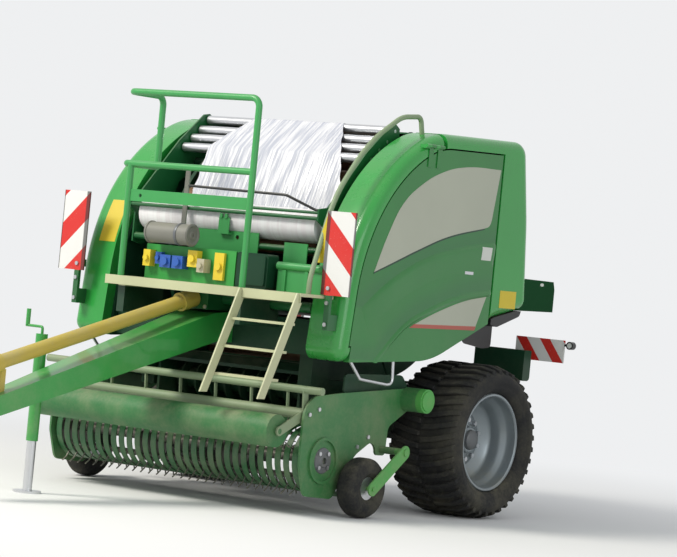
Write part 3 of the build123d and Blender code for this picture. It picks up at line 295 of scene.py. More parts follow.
def add_node(tree, kind, group=None, **inputs):
    """New shader node, or a group placed, with its named inputs."""
    node = tree.nodes.new("ShaderNode" + kind)
    if group:
        node.node_tree = group
    plug(tree, node, **inputs)
    return node


def new_group(name, inputs, outputs):
    """Empty shader node group: inputs with their defaults, colours as tuples, and outputs with their kinds."""
    group = bpy.data.node_groups.new(name, "ShaderNodeTree")
    for label, value in inputs.items():
        kind = "Color" if isinstance(value, tuple) else "Float"
        socket = group.interface.new_socket(name=label, in_out="INPUT", socket_type="NodeSocket" + kind)
        feed(group, value, socket)
    for label, kind in outputs.items():
        group.interface.new_socket(name=label, in_out="OUTPUT", socket_type="NodeSocket" + kind)
    return group, group.nodes.new("NodeGroupInput").outputs, group.nodes.new("NodeGroupOutput").inputs


def object_place(tree):
    """Socket of the object coordinates."""
    return add_node(tree, "TexCoord").outputs["Object"]


def axes(tree, vector=None):
    """X, Y and Z sockets of a vector, or of the object coordinates."""
    return add_node(tree, "SeparateXYZ", Vector=vector or object_place(tree)).outputs


def math_node(operation, tree, first, second=None):
    """Math node on one or two sockets or numbers; returns its output."""
    node = add_node(tree, "Math")
    node.operation = operation
    feed(tree, first, node.inputs[0])
    if second is not None:
        feed(tree, second, node.inputs[1])
    return node.outputs[0]


times, plus, minus, larger = (partial(math_node, kind) for kind in ("MULTIPLY", "ADD", "SUBTRACT", "MAXIMUM"))


def ramp(tree, value, low, high):
    """Smooth step of a socket between two values, as 0 to 1."""
    node = add_node(tree, "MapRange", Value=value, From_Min=low, From_Max=high)
    node.interpolation_type = "SMOOTHSTEP"
    return node.outputs["Result"]


def soft_step(tree, value, at, half):
    """Soft step up at a value, or down where its half width is negative."""
    return ramp(tree, value, at - half, at + half)


def noise(tree, scale, detail, roughness=0.55, vector=None):
    """Value of a noise on a vector, or on the object coordinates."""
    return add_node(tree, "TexNoise", Scale=scale, Detail=detail, Roughness=roughness,
                    Vector=vector or object_place(tree)).outputs["Fac"]


def mix_colour(tree, factor, first, second):
    """Mix of two colours or colour sockets by a socket."""
    node = add_node(tree, "Mix")
    node.data_type = "RGBA"
    plug(tree, node, Factor=factor, A=first, B=second)
    return node.outputs["Result"]


def relief(tree, height, strength, distance):
    """Normal of a fine relief."""
    return add_node(tree, "Bump", Height=height, Strength=strength, Distance=distance).outputs["Normal"]


def field_dust_group():
    """Dust that settles low down and on faces that look up, with a broken edge."""
    group, start, end = new_group("field_dust", {
        "Colour": MID_GREY, "Dust Colour": DUST, "Amount": 0.3, "Top Height": 1.2, "Clean Roughness": 0.35,
    }, {"Colour": "Color", "Roughness": "Float"})
    facing = axes(group, add_node(group, "NewGeometry").outputs["Normal"])
    low = add_node(group, "MapRange", Value=axes(group)["Z"], From_Min=0.0, From_Max=start["Top Height"],
                   To_Min=1.0, To_Max=0.0)
    upward = ramp(group, facing["Z"], 0.1, 0.9)
    patches = ramp(group, noise(group, 5.0, 6.0, 0.62), 0.35, 0.75)
    fine = ramp(group, noise(group, 60.0, 3.0, 0.6), 0.3, 0.8)
    settled = plus(group, low.outputs["Result"], times(group, upward, 0.7))
    broken = times(group, settled, plus(group, patches, times(group, fine, 0.35)))
    mask = math_node("MINIMUM", group, times(group, broken, start["Amount"]), 0.9)
    feed(group, mix_colour(group, mask, start["Colour"], start["Dust Colour"]), end["Colour"])
    feed(group, plus(group, start["Clean Roughness"], times(group, mask, 0.5)), end["Roughness"])
    return group


def paint_shade_group():
    """Slow drift of a colour over a large sheet, and a slight orange peel."""
    group, start, end = new_group("paint_shade", {"Colour": MID_GREY, "Drift": 0.1, "Peel": 0.1},
                                  {"Colour": "Color", "Normal": "Vector"})
    drift = times(group, ramp(group, noise(group, 1.7, 3.0), 0.3, 0.7), start["Drift"])
    darker = add_node(group, "HueSaturation", Value=0.55, Color=start["Colour"]).outputs["Color"]
    feed(group, mix_colour(group, drift, start["Colour"], darker), end["Colour"])
    feed(group, relief(group, noise(group, 240.0, 2.0), start["Peel"], 0.0006), end["Normal"])
    return group


DUST_GROUP = field_dust_group()
SHADE_GROUP = paint_shade_group()


def new_material(name):
    """Material with its tree and its main shader."""
    made = bpy.data.materials.new(name)
    made.use_nodes = True
    tree = made.node_tree
    return made, tree, tree.nodes["Principled BSDF"]


def dusted(tree, shader, colour, amount, top, roughness, normal=None):
    """Field dust over a colour, up to a height, is what the shader shows."""
    dusty = add_node(tree, "Group", DUST_GROUP, Colour=colour, Amount=amount, Top_Height=top,
                     Clean_Roughness=roughness).outputs
    plug(tree, shader, Base_Color=dusty["Colour"], Roughness=dusty["Roughness"])
    if normal:
        plug(tree, shader, Normal=normal)


def painted(name, colour, roughness=0.3, drift=0.25, dust=0.3, top=1.3, metallic=0.0, coat=0.0, peel=0.15,
            gloss=0.5):
    """Painted sheet or casting with field dust."""
    made, tree, shader = new_material(name)
    shade = add_node(tree, "Group", SHADE_GROUP, Colour=colour, Drift=drift, Peel=peel).outputs
    dusted(tree, shader, shade["Colour"], dust, top, roughness, shade["Normal"])
    plug(tree, shader, Metallic=metallic, Coat_Weight=coat, Specular_IOR_Level=gloss)
    return made


def striped(name, period, slope, start, share, edges, face, foot):
    """Board with red diagonal bands across its x and z, and painted shade darkening its folded edges beyond the two
    places.

    What lies off its face or below its foot is bracket, and is plainly painted.
    """
    made, tree, shader = new_material(name)
    place = axes(tree)
    out = math_node("ABSOLUTE", tree, place["X"])
    along = plus(tree, times(tree, out, slope), place["Z"])
    turn = math_node("FRACT", tree, math_node("DIVIDE", tree, minus(tree, along, start), period))
    worn = ramp(tree, noise(tree, 90.0, 4.0, 0.7), 0.62, 0.72)
    band = times(tree, soft_step(tree, turn, share, -0.01), minus(tree, 1.0, times(tree, worn, 0.25)))
    colour = mix_colour(tree, band, BOARD_WHITE, RED)
    # Painted shade: the folded edges beyond the two places are darkened towards black
    painted_edge_shade = larger(tree, soft_step(tree, out, edges[0], -0.003), soft_step(tree, out, edges[1], 0.002))
    colour = mix_colour(tree, times(tree, painted_edge_shade, 0.8), colour, BLACK)
    off = math_node("ABSOLUTE", tree, minus(tree, place["Y"], face))
    bracket = larger(tree, soft_step(tree, off, BOARD_DEPTH, 0.0005), ramp(tree, place["Z"], foot, foot - 0.001))
    dusted(tree, shader, mix_colour(tree, bracket, colour, DEEP_GREEN), 0.12, 2.4, 0.35)
    return made


def two_tone(name, near, far, axis, at, dust):
    """Paint of two colours, split at a distance along x from the middle or at a height."""
    made, tree, shader = new_material(name)
    beyond = soft_step(tree, math_node("ABSOLUTE", tree, axes(tree)[axis]), at, 0.001)
    colour = mix_colour(tree, beyond, near, far)
    tint = add_node(tree, "Group", SHADE_GROUP, Colour=colour, Drift=0.35, Peel=0.15).outputs
    dusted(tree, shader, tint["Colour"], dust, 1.6, 0.42, tint["Normal"])
    return made


def marker_lamps():
    """Black marker lamps with a pale lens outside, and red and amber lenses in the clusters."""
    made, tree, shader = new_material("lamp_lenses")
    place = axes(tree)
    out = math_node("ABSOLUTE", tree, place["X"])
    beside = minus(tree, out, MARKER_AT[0])
    over = minus(tree, place["Z"], MARKER_AT[1])
    away = math_node("SQRT", tree, plus(tree, times(tree, beside, beside), times(tree, over, over)))
    marker = mix_colour(tree, soft_step(tree, away, LENS_RADIUS, 0.001), LENS_WHITE, BLACK)
    cluster = mix_colour(tree, soft_step(tree, out, AMBER_FROM, 0.001), RED, LAMP_AMBER)
    ribs = math_node("FRACT", tree, times(tree, place["Z"], LENS_RIBS))
    plug(tree, shader, Base_Color=mix_colour(tree, soft_step(tree, out, MARKERS_FROM, 0.05), cluster, marker),
         Normal=relief(tree, ribs, 0.3, 0.001), Roughness=0.15)
    return made


def banded(name, bands, rest):
    """Painted block whose pieces differ in colour along x: (from x, to x, colour)."""
    made, tree, shader = new_material(name)
    place = axes(tree)
    front = ramp(tree, place["Y"], VALVE_FACE - 0.002, VALVE_FACE - 0.004)
    colour = rest
    for low, high, tint in bands:
        inside = times(tree, soft_step(tree, place["X"], low, 0.001), soft_step(tree, place["X"], high, -0.001))
        colour = mix_colour(tree, times(tree, inside, front), colour, tint)
    dusted(tree, shader, colour, 0.2, 2.0, 0.4)
    return made


def crease_shaded_paint(name, colour, creases):
    """Door paint with painted shade: a darker band above each crease, where the pressed sheet would lie in shade;
    each crease is a row of (y, z) from front to back.
    """
    made, tree, shader = new_material(name)
    place = axes(tree)
    shade = None
    for points in creases:
        low, high = points[0][0], points[-1][0]
        along = add_node(tree, "MapRange", Value=place["Y"], From_Min=low + AXLE_Y, From_Max=high + AXLE_Y)
        line = add_node(tree, "FloatCurve", Value=along.outputs["Result"])
        curve = line.mapping.curves[0]
        spots = [((y - low) / (high - low), (z - CREASE_LOW) / CREASE_SPAN) for y, z in points]
        curve.points[0].location = spots[0]
        curve.points[1].location = spots[-1]
        for spot in spots[1:-1]:
            curve.points.new(*spot)
        line.mapping.update()
        height = plus(tree, times(tree, line.outputs["Value"], CREASE_SPAN), CREASE_LOW)
        above = minus(tree, place["Z"], height)
        # Painted shade: a band from each crease up to about 0.17 m above it
        fade = times(tree, ramp(tree, above, -0.005, 0.02), ramp(tree, above, 0.17, 0.02))
        shade = fade if shade is None else larger(tree, shade, fade)
    tone = add_node(tree, "Group", SHADE_GROUP, Colour=colour, Drift=0.2, Peel=0.12).outputs
    # The painted shade darkens the door's colour towards deep green
    darker = mix_colour(tree, times(tree, shade, 0.45), tone["Colour"], DEEP_GREEN)
    dusted(tree, shader, darker, 0.09, 1.8, 0.3, tone["Normal"])
    plug(tree, shader, Coat_Weight=0.2)
    return made


def film_finish(name, stretch, detail, edges, colours, height):
    """White film with fine lines of folds or windings in a darker colour, which on the stretch film is a painted
    shade; returns its material, tree, shader and lines.
    """
    made, tree, shader = new_material(name)
    stretched = add_node(tree, "Mapping", Vector=object_place(tree))
    stretched.inputs["Scale"].default_value = stretch
    lines = ramp(tree, noise(tree, 1.0, detail, 0.6, stretched.outputs["Vector"]), *edges)
    plug(tree, shader, Base_Color=mix_colour(tree, lines, *colours), Normal=relief(tree, lines, *height))
    return made, tree, shader, lines


def stretched_film():
    """White stretch film, whiter and glossier where it is folded, with a bluish painted shade of the folds between.
    """
    made, tree, shader, lines = film_finish("stretch_film", (60.0, 3.0, 3.0), 4.0, (0.35, 0.65),
                                            (FILM_PAINTED_SHADE, FILM_WHITE), (0.5, 0.003))
    plug(tree, shader, Roughness=ramp(tree, lines, 1.4, -0.2))
    return made


def wound_film():
    """Roll of film: fine rings of the winding's edges across a smooth white surface."""
    made, tree, shader, _ = film_finish("wound_film", (26.0, 0.8, 0.8), 5.0, (0.4, 0.62),
                                        (ROLL_SHADE, ROLL_WHITE), (0.25, 0.0015))
    plug(tree, shader, Roughness=0.3)
    return made


MATERIALS = {
    "green": painted("green_paint", GREEN, 0.28, coat=0.3),
    "deep": painted("deep_green_paint", DEEP_GREEN, 0.35),
    "dark": painted("dark_green_paint", DARK_GREEN, 0.45, dust=0.2, gloss=0.3),
    "black": painted("black_paint", BLACK, 0.4, dust=0.35),
    "steel": painted("bright_steel", STEEL, 0.28, drift=0.15, dust=0.1, metallic=0.9),
    "roller": painted("roller_steel", ROLLER_STEEL, 0.4, metallic=0.7),
    "rim": painted("rim_silver", RIM_SILVER, 0.36, dust=0.25, top=1.0, metallic=0.55),
    "tyre": painted("tyre_rubber", RUBBER, 0.75, dust=0.17, top=1.5, peel=0.4, gloss=0.25),
    "yellow": painted("yellow_plastic", SHADED_PLATE_YELLOW, 0.4, dust=0.08),
    "grey": painted("grey_plastic", GREY, 0.5),
    "dusty": painted("dusty_shadowed_green_paint", DUSTY_SHADOWED_GREEN, 0.5, drift=0.4, dust=0.34, top=1.6, gloss=0.35),
    # Door paint with painted shade above its creases
    "door": crease_shaded_paint("door_paint_with_painted_crease_shade", SHADED_DOOR_GREEN, DOOR_CREASES),
    "arch": painted("arch_paint", GREEN, 0.26, drift=0.15, dust=0.12, top=1.7, coat=0.3),
    "back": painted("tailgate_paint", DEEP_GREEN, 0.35, drift=0.15, dust=0.14, top=1.7),
    "guard": painted("dusty_shaft_guard", GUARD_YELLOW, 0.5, dust=0.4, top=2.0),
    "cast": painted("hub_cover", CAST_GREY, 0.45, dust=0.3, metallic=0.3),
    # Ladder all in cream: a painted highlight
    "cream": painted("cream_painted_highlight", HIGHLIGHT_CREAM, 0.5, dust=0.35, top=1.6),
    "rail": painted("rail_paint", RAIL_GREEN, 0.35, dust=0.15),
    "grey_green": painted("worn_rail_paint", GREY_GREEN, 0.45, dust=0.2, top=2.0),
    "rust": painted("rusty_roller", RUST, 0.55, drift=0.6, metallic=0.4),
    "panel": painted("off_white_panel", SHADED_OFF_WHITE, 0.4, drift=0.1, dust=0.15, top=2.2),
    "line": painted("panel_outline", DARK_GREEN, 0.4, dust=0.1),
    "stripe": painted("faded_red", FADED_RED, 0.45, dust=0.2),
    "label": painted("pale_label", LABEL_WHITE, 0.4, dust=0.1),
    "front_board": striped("front_board_stripes", period=0.362, slope=0.98, start=2.780, share=0.494,
                           edges=(1.048, 1.243), face=-0.180, foot=1.424),
    "rear_board": striped("rear_board_stripes", period=0.250, slope=1.28, start=2.477, share=0.44,
                          edges=(0.95, 1.37), face=2.245, foot=0.5),
    "pickup_paint": two_tone("pickup_paint", PICKUP_GREEN, PIVOT_GREEN, "X", at=1.205, dust=0.36),
    # Platform: dark green below the height and cream above it, the cream a painted highlight on its top
    "platform_paint": two_tone("platform_paint", DARK_GREEN, HIGHLIGHT_CREAM, "Z", at=1.352, dust=0.35),
    "marker_lamps": marker_lamps(),
    "valves": banded("valve_bank_paint", VALVE_BANDS, GREEN),
    "web": stretched_film(),
    "wound": wound_film(),
    "bumper": painted("bumper_paint", BUMPER_GREEN, 0.7, dust=0.05, top=1.0, gloss=0.12),
    "bracket": two_tone("roll_bracket_paint", RAIL_GREEN, GREY, "X", at=0.2915, dust=0.2),
}

# CAD nodes by their finish
FINISHED_NODES = {
    "green": "drawbar jack_tube",
    "deep": "gearbox pickup_strippers film_cradle",
    "dark": "chassis_frame axle_beam rotor_housing front_walls tailgate_walls control_box",
    "black": "tailgate_edge film_rod bale_ramp",
    "steel": "tow_eye jack_leg door_left_handle door_right_handle guide_rollers",
    "roller": "tailgate_rollers pickup_reel",
    "rim": "wheel_left_rim wheel_right_rim",
    "tyre": "wheel_left_tyre wheel_right_tyre gauge_wheel_left gauge_wheel_right",
    "grey": "canister",
    "dusty": "crop_roller",
    "door": "door_left door_right",
    "arch": "front_arch tail_arch",
    "back": "tailgate_skin",
    "guard": "driveline",
    "cream": "ladder",
    "rail": "guard_rail side_box toe_board",
    "grey_green": "wind_guard grab_rail",
    "rust": "front_rollers",
    "front_board": "front_boards",
    "rear_board": "rear_boards",
    "pickup_paint": "pickup_frame",
    "platform_paint": "platform",
    "marker_lamps": "rear_lamps",
    "valves": "valve_block",
    "web": "film_web",
    "wound": "film_roll",
    "bumper": "tailgate_bumper",
    "bracket": "roll_bracket",
}


def dress_nodes():
    """Every CAD node gets its finish."""
    for finish, names in FINISHED_NODES.items():
        for name in names.split():
            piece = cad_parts[name]
            piece.data.materials.clear()
            piece.data.materials.append(MATERIALS[finish])


# Tools for new pieces

def select_only(*pieces):
    """Only these pieces are selected, and the first is the active one."""
    bpy.ops.object.select_all(action="DESELECT")
    for piece in pieces:
        piece.select_set(True)
    if pieces:
        bpy.context.view_layer.objects.active = pieces[0]


def dress(piece, name, material, body):
    """Name, finish and body of a new piece."""
    piece.name = name
    piece.data.name = name
    piece.data.materials.clear()
    piece.data.materials.append(MATERIALS[material])
    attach(piece, body)
    return piece


def added(primitive, **settings):
    """New primitive from its operator, the only thing that is selected."""
    select_only()
    primitive(**settings)
    return bpy.context.object


def settle(piece):
    """Piece's place goes into its mesh."""
    select_only(piece)
    bpy.ops.object.transform_apply(location=True, rotation=True, scale=True)


def apply_modifier(piece, kind, **settings):
    """Modifier of a kind, with its settings, goes into a piece's mesh."""
    modifier = piece.modifiers.new(kind.lower(), kind)
    for label, value in settings.items():
        setattr(modifier, label, value)
    select_only(piece)
    bpy.ops.object.modifier_apply(modifier=modifier.name)


def plate(outline, at, thickness, across="x"):
    """Thin plate at an x, or at a y from the axle, cut from a closed outline of points."""
    curve = bpy.data.curves.new("outline", "CURVE")
    curve.dimensions = "2D"
    curve.fill_mode = "BOTH"
    curve.extrude = thickness / 2
    spline = curve.splines.new("BEZIER")
    spline.bezier_points.add(len(outline) - 1)
    for point, (first, second, kind) in zip(spline.bezier_points, outline):
        point.co = (first, second, 0)
        point.handle_left_type = point.handle_right_type = "AUTO" if kind == "r" else "VECTOR"
    spline.use_cyclic_u = True
    made = bpy.data.objects.new("outline", curve)
    bpy.context.scene.collection.objects.link(made)
    if across == "x":
        made.matrix_world = Matrix(((0, 0, 1, at), (1, 0, 0, AXLE_Y), (0, 1, 0, 0), (0, 0, 0, 1)))
    else:
        made.matrix_world = Matrix(((1, 0, 0, 0), (0, 0, -1, at + AXLE_Y), (0, 1, 0, 0), (0, 0, 0, 1)))
    select_only(made)
    bpy.ops.object.convert(target="MESH")
    settle(made)
    return bpy.context.object


def spun(profile, middle, centre, side=1, steps=96, smooth=40):
    """Closed ring spun round the x axis from (x, radius) points, their x measured outwards from a middle."""
    profile = [(side * x, radius) for x, radius in profile]
    x, radius = profile[0]
    ring = added(bpy.ops.mesh.primitive_plane_add, size=0.01, location=(middle + x, centre[0], centre[1] + radius))
    bpy.ops.object.mode_set(mode="EDIT")
    bpy.ops.mesh.merge(type="CENTER")
    for before, after in zip(profile, profile[1:] + profile[:1]):
        step = (after[0] - before[0], 0, after[1] - before[1])
        bpy.ops.mesh.extrude_region_move(TRANSFORM_OT_translate={"value": step})
    bpy.ops.mesh.select_all(action="SELECT")
    bpy.ops.mesh.remove_doubles(threshold=0.0001)
    bpy.ops.mesh.spin(steps=steps, angle=2 * pi, center=(middle, *centre), axis=(1, 0, 0))
    bpy.ops.mesh.select_all(action="SELECT")
    bpy.ops.mesh.remove_doubles(threshold=0.0001)
    bpy.ops.mesh.normals_make_consistent(inside=False)
    bpy.ops.object.mode_set(mode="OBJECT")
    settle(ring)
    bpy.ops.object.shade_smooth_by_angle(angle=radians(smooth))
    return ring


def joined_copies(piece, moves):
    """Copies of a piece, one for each move, joined; the piece itself goes."""
    made = []
    for move in moves:
        twin = piece.copy()
        twin.data = piece.data.copy()
        twin.data.transform(move)
        bpy.context.scene.collection.objects.link(twin)
        made.append(twin)
    bpy.data.objects.remove(piece)
    select_only(*made)
    bpy.ops.object.join()
    return bpy.context.object


def turned_copies(piece, count, start=0.0):
    """Copies of a piece round the wheel axle, joined."""
    axis = Vector((0, *AXLE))
    return joined_copies(piece, [
        Matrix.Translation(axis) @ Matrix.Rotation(start + 2 * pi * number / count, 4, "X")
        @ Matrix.Translation(-axis) for number in range(count)])


def raised(piece, test, inset, rise):
    """Faces whose middle passes a test are inset and pulled out, and stay selected in edit mode."""
    for face in piece.data.polygons:
        face.select = bool(test(face.center))
    for edge in piece.data.edges:
        edge.select = False
    bpy.ops.object.mode_set(mode="EDIT")
    bpy.ops.mesh.inset(thickness=inset)
    bpy.ops.mesh.extrude_region_move(TRANSFORM_OT_translate={"value": rise})


def laid_sheet(target, axis, across, heights, start, cells, offset):
    """Grid over a width and height, moved along x or y from its start until it lies on another piece."""
    middle, height = sum(across) / 2, sum(heights) / 2
    place, turn = ((start, middle, height), pi / 2) if axis == "x" else ((middle, start, height), 0)
    sheet = added(bpy.ops.mesh.primitive_grid_add, x_subdivisions=cells[0], y_subdivisions=cells[1], size=1,
                  location=place, rotation=(pi / 2, 0, turn))
    sheet.scale = (across[1] - across[0], heights[1] - heights[0], 1)
    settle(sheet)
    apply_modifier(sheet, "SHRINKWRAP", target=target, wrap_method="PROJECT", use_project_x=axis == "x",
                   use_project_y=axis == "y", use_project_z=False, use_positive_direction=start < 0,
                   use_negative_direction=start > 0, offset=offset)
    return sheet


def thicken(piece, thickness, offset=-1):
    """Closed sheet of a thickness."""
    apply_modifier(piece, "SOLIDIFY", thickness=thickness, offset=offset)
    bpy.ops.object.mode_set(mode="EDIT")
    bpy.ops.mesh.select_all(action="SELECT")
    bpy.ops.mesh.normals_make_consistent(inside=False)
    bpy.ops.object.mode_set(mode="OBJECT")
    bpy.ops.object.shade_smooth_by_angle(angle=radians(40))


# Plates, ridges and ribs

def blank_panels():
    """Off-white panels, outlines, latches and a red stripe on both doors, and the tailgate's yellow plates."""
    for side, name in SIDES:
        body = "door_" + name
        face = side * DOOR_FACE
        for part, outline, out, thickness, finish, slot in DOOR_PLATES:
            dress(plate(outline, face + side * out, thickness), f"{body}_{part}", finish, body)
        dress(plate(TAIL_PLATE, face + side * 0.0010, 0.0016), "tailgate_plate_" + name, "yellow", "tailgate")


def flank_plates():
    """Yellow plates beside the front boards: one laid on the right cover, one behind the left board."""
    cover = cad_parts["front_arch"]
    sheet = laid_sheet(cover, "y", (-PLATE_X[1], -PLATE_X[0]), PLATE_Z, BEFORE_COVER, cells=(6, 24), offset=0.0015)
    thicken(sheet, 0.0015)
    dress(sheet, "flank_plate_right", "yellow", "frame")
    dress(plate(LEFT_TAB, LEFT_TAB_Y, 0.002, across="y"), "board_tab_left", "yellow", "frame")


def smooth_run(points, share):
    """Place on a smooth curve through (y, z) points, at a share of its way."""
    last = len(points) - 1
    spot = min(max(share, 0.0) * last, last - 0.0001)
    first = int(spot)
    part = spot - first
    before, here, there, after = (Vector(points[max(0, min(last, first + step))]) for step in (-1, 0, 1, 2))
    return 0.5 * (2 * here + (there - before) * part + (2 * before - 5 * here + 4 * there - after) * part ** 2
                  + (3 * here - before - 3 * there + after) * part ** 3)


def door_swages():
    """Long soft ridges under the creases of both doors, and a blank label on the upper one."""
    for side, name in SIDES:
        body = "door_" + name
        for level, points, profile in zip(("upper", "lower"), DOOR_CREASES, SWAGE_PROFILES):
            rows = len(profile) - 1
            ridge = added(bpy.ops.mesh.primitive_grid_add, x_subdivisions=RIDGE_COLUMNS, y_subdivisions=rows, size=2)
            for vertex in ridge.data.vertices:
                share = (vertex.co.x + 1) / 2
                shift, rise = profile[round((vertex.co.y + 1) / 2 * rows)]
                along = (smooth_run(points, share + 0.01) - smooth_run(points, share - 0.01)).normalized()
                spot = smooth_run(points, share) + Vector((-along.y, along.x)) * shift
                fade = min(1.0, share / RIDGE_FADES[0]) * min(1.0, (1.0 - share) / RIDGE_FADES[1])
                height = DOOR_FACE + rise * fade - SHEET_LAP
                vertex.co = (side * height, min(spot.x, DOOR_BACK) + AXLE_Y, max(spot.y, DOOR_FOOT))
            thicken(ridge, PRESSED_SHEET, 0)
            dress(ridge, f"{body}_{level}_swage", "door", body)
            if level == "upper":
                across = [AXLE_Y + y for y in LABEL_Y]
                label = laid_sheet(ridge, "x", across, LABEL_Z, side * BESIDE_DOOR, cells=(6, 6), offset=0.0012)
                thicken(label, 0.0012)
                dress(label, body + "_label", "label", body)


def tailgate_ribs():
    """Two soft upright ribs pressed into the tailgate's back sheet."""
    for side, name in SIDES:
        middle = side * RIB_X
        rib = laid_sheet(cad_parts["tailgate_skin"], "y", (middle - RIB_HALF, middle + RIB_HALF), RIB_Z,
                         BEHIND_TAILGATE, cells=(12, 48), offset=0.0)
        for vertex in rib.data.vertices:
            beside = 1 - abs(vertex.co.x - middle) / RIB_HALF
            inside = max(0.0, min(vertex.co.z - RIB_Z[0], RIB_Z[1] - vertex.co.z) / RIB_HALF)
            vertex.co.y += RIB_RISE * min(1.0, RIB_FLANK * beside) * min(1.0, RIB_FLANK * inside) - SHEET_LAP
        thicken(rib, PRESSED_SHEET, 0)
        dress(rib, "tailgate_rib_" + name, "back", "tailgate")


def canister_trim():
    """Strap round the canister and its dished end cap."""
    dress(spun(STRAP, STRAP_X, CANISTER, steps=64), "canister_strap", "cast", "frame")
    dress(spun(END_CAP, CAP_X, CANISTER, steps=64), "canister_cap", "grey", "frame")


# Fasteners

def bolts(name, body, axis, size, spots):
    """Hexagon bolt heads on their washers at (x, y from the axle, z) places, pointing along an axis."""
    head = added(bpy.ops.mesh.primitive_cylinder_add, vertices=12, radius=size * WASHER, depth=WASHER_DEPTH,
                 location=(0, 0, WASHER_DEPTH / 2 - WASHER_SUNK))
    settle(head)
    raised(head, lambda spot: spot.z > WASHER_DEPTH / 2, size * HEAD_INSET, (0, 0, size * HEAD_HEIGHT))
    bpy.ops.mesh.inset(thickness=size * HEAD_BEVEL)
    bpy.ops.transform.translate(value=(0, 0, size * HEAD_CROWN))
    bpy.ops.object.mode_set(mode="OBJECT")
    turn = Vector(axis).to_track_quat("Z", "Y").to_matrix().to_4x4()
    heads = joined_copies(head, [Matrix.Translation((x, y + AXLE_Y, z)) @ turn for x, y, z in spots])
    dress(heads, name, "steel", body)


def fasteners():
    """Bearing flanges of the reel, the bolts that show on plates and brackets, and pale patches on the bumper:
    painted light of the sky seen through its holes.
    """
    for side, name in SIDES:
        flange = spun(BEARING_FLANGE, side * PICKUP_FACE, REEL_AT, side, steps=48)
        dress(flange, "reel_bearing_" + name, "cast", "pickup")
        for part, body, (x, y, z), size, spots in BOLTS:
            bolts(f"{part}_{name}", body, (side * x, y, z), size, [(side * out, *spot) for out, *spot in spots])
        # Pale patch as painted light: the sky seen through a hole in the bumper's side
        dress(plate(BUMPER_HOLE_LIGHT, side * BUMPER_HOLE_LIGHT_X, 0.0024), "bumper_hole_painted_light_" + name, "label", "tailgate")


# Wheels

def lug(middle, row):
    """One tread lug at the top of a tyre, swept back towards the shoulder."""
    block = added(bpy.ops.mesh.primitive_cube_add, size=1,
                  location=(middle + row * LUG_PLACE[0], AXLE_Y, AXLE_Z + LUG_PLACE[1]))
    bpy.ops.object.mode_set(mode="EDIT")
    bpy.ops.transform.resize(value=LUG_SIZE)
    bpy.ops.mesh.subdivide(number_cuts=2)
    bpy.ops.object.mode_set(mode="OBJECT")
    settle(block)
    for vertex in block.data.vertices:
        out = abs(vertex.co.x - middle)
        vertex.co.y += LUG_SWEEP * (out / LUG_REACH) ** 1.6 - LUG_SHIFT
        if out > SHOULDER:
            vertex.co.z -= SHOULDER_DROP * ((out - SHOULDER) / SHOULDER_WIDTH) ** 2
            if vertex.co.z < AXLE_Z + LUG_ROOT:
                vertex.co.z -= ROOT_DROP
    apply_modifier(block, "BEVEL", width=0.004, segments=1, limit_method="ANGLE", angle_limit=radians(35))
    bpy.ops.object.shade_smooth_by_angle(angle=radians(30))
    return block


def wheel_nut(middle, side):
    """Hexagon nut with its stud on the rim's disc."""
    nut = added(bpy.ops.mesh.primitive_cylinder_add, vertices=6, radius=NUT_RADIUS, depth=NUT_DEPTH,
                rotation=(0, pi / 2, 0), location=(middle + side * NUT_X, AXLE_Y, AXLE_Z + NUT_CIRCLE))
    settle(nut)
    outer = middle + side * (NUT_X + NUT_DEPTH / 2)
    raised(nut, lambda spot: abs(spot.x - outer) < 0.001, STUD_INSET, (side * STUD_LENGTH, 0, 0))
    bpy.ops.object.mode_set(mode="OBJECT")
    return nut


def wheel_pieces():
    """Smooth rims with wheel nuts and finely lugged tyres on both sides."""
    for side, name in SIDES:
        body = "wheel_" + name
        middle = side * TYRE_X
        rim = spun(RIM_PROFILE, middle, AXLE, side, smooth=32)
        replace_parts(dress(rim, body + "_dish", "rim", body), body + "_rim")
        tyre = spun(TYRE_PROFILE, middle, AXLE, side, steps=128, smooth=30)
        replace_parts(dress(tyre, body + "_casing", "tyre", body), body + "_tyre")
        for row in (1, -1):
            lugs = turned_copies(lug(middle, row), LUGS, start=(row + side) * pi / LUGS / 2)
            dress(lugs, f"{body}_lugs_{'outer' if row == side else 'inner'}", "tyre", body)
        dress(turned_copies(wheel_nut(middle, side), NUTS), body + "_nuts", "steel", body)
        hub = spun(HUB_PROFILE, middle, AXLE, side, steps=64, smooth=32)
        dress(hub, body + "_hub_cap", "cast", body)


def gauge_pieces():
    """Smooth gauge wheels with a pale hub."""
    for _, name in SIDES:
        body = "gauge_wheel_" + name
        low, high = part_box(body)
        middle, half = (low[0] + high[0]) / 2, (high[0] - low[0]) / 2
        centre = ((low[1] + high[1]) / 2, (low[2] + high[2]) / 2)
        radius = (high[2] - low[2]) / 2
        tread = [(-half + 0.022, 0.075), (-half, 0.105), (-half, radius - 0.045), (-half + 0.012, radius - 0.016),
                 (-half + 0.03, radius - 0.003), (-0.03, radius)]
        tyre = spun(tread + mirror(tread), middle, centre, steps=72, smooth=35)
        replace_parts(dress(tyre, body + "_tyre", "tyre", body), body)
        rim = [(-half + 0.024, 0.0145), (-half + 0.024, 0.0755), (-half + 0.03, 0.0755), (-half + 0.05, 0.05)]
        hub = spun(rim + mirror(rim), middle, centre, steps=48, smooth=35)
        dress(hub, body + "_hub", "steel", body)


# Film

def tangent(first, second, radii):
    """Where a web touches two rollers, and its direction; a minus radius is touched on its rear side."""
    run = Vector(second) - Vector(first)
    lean = asin((radii[0] - radii[1]) / run.length)
    heading = atan2(run.y, run.x) + pi / 2 - lean
    side = Vector((cos(heading), sin(heading)))
    return Vector(first) + side * radii[0], Vector(second) + side * radii[1], heading


def evenly(start, end, rows):
    """Places or directions in even steps, with both ends."""
    return [start + (end - start) * row / rows for row in range(rows + 1)]


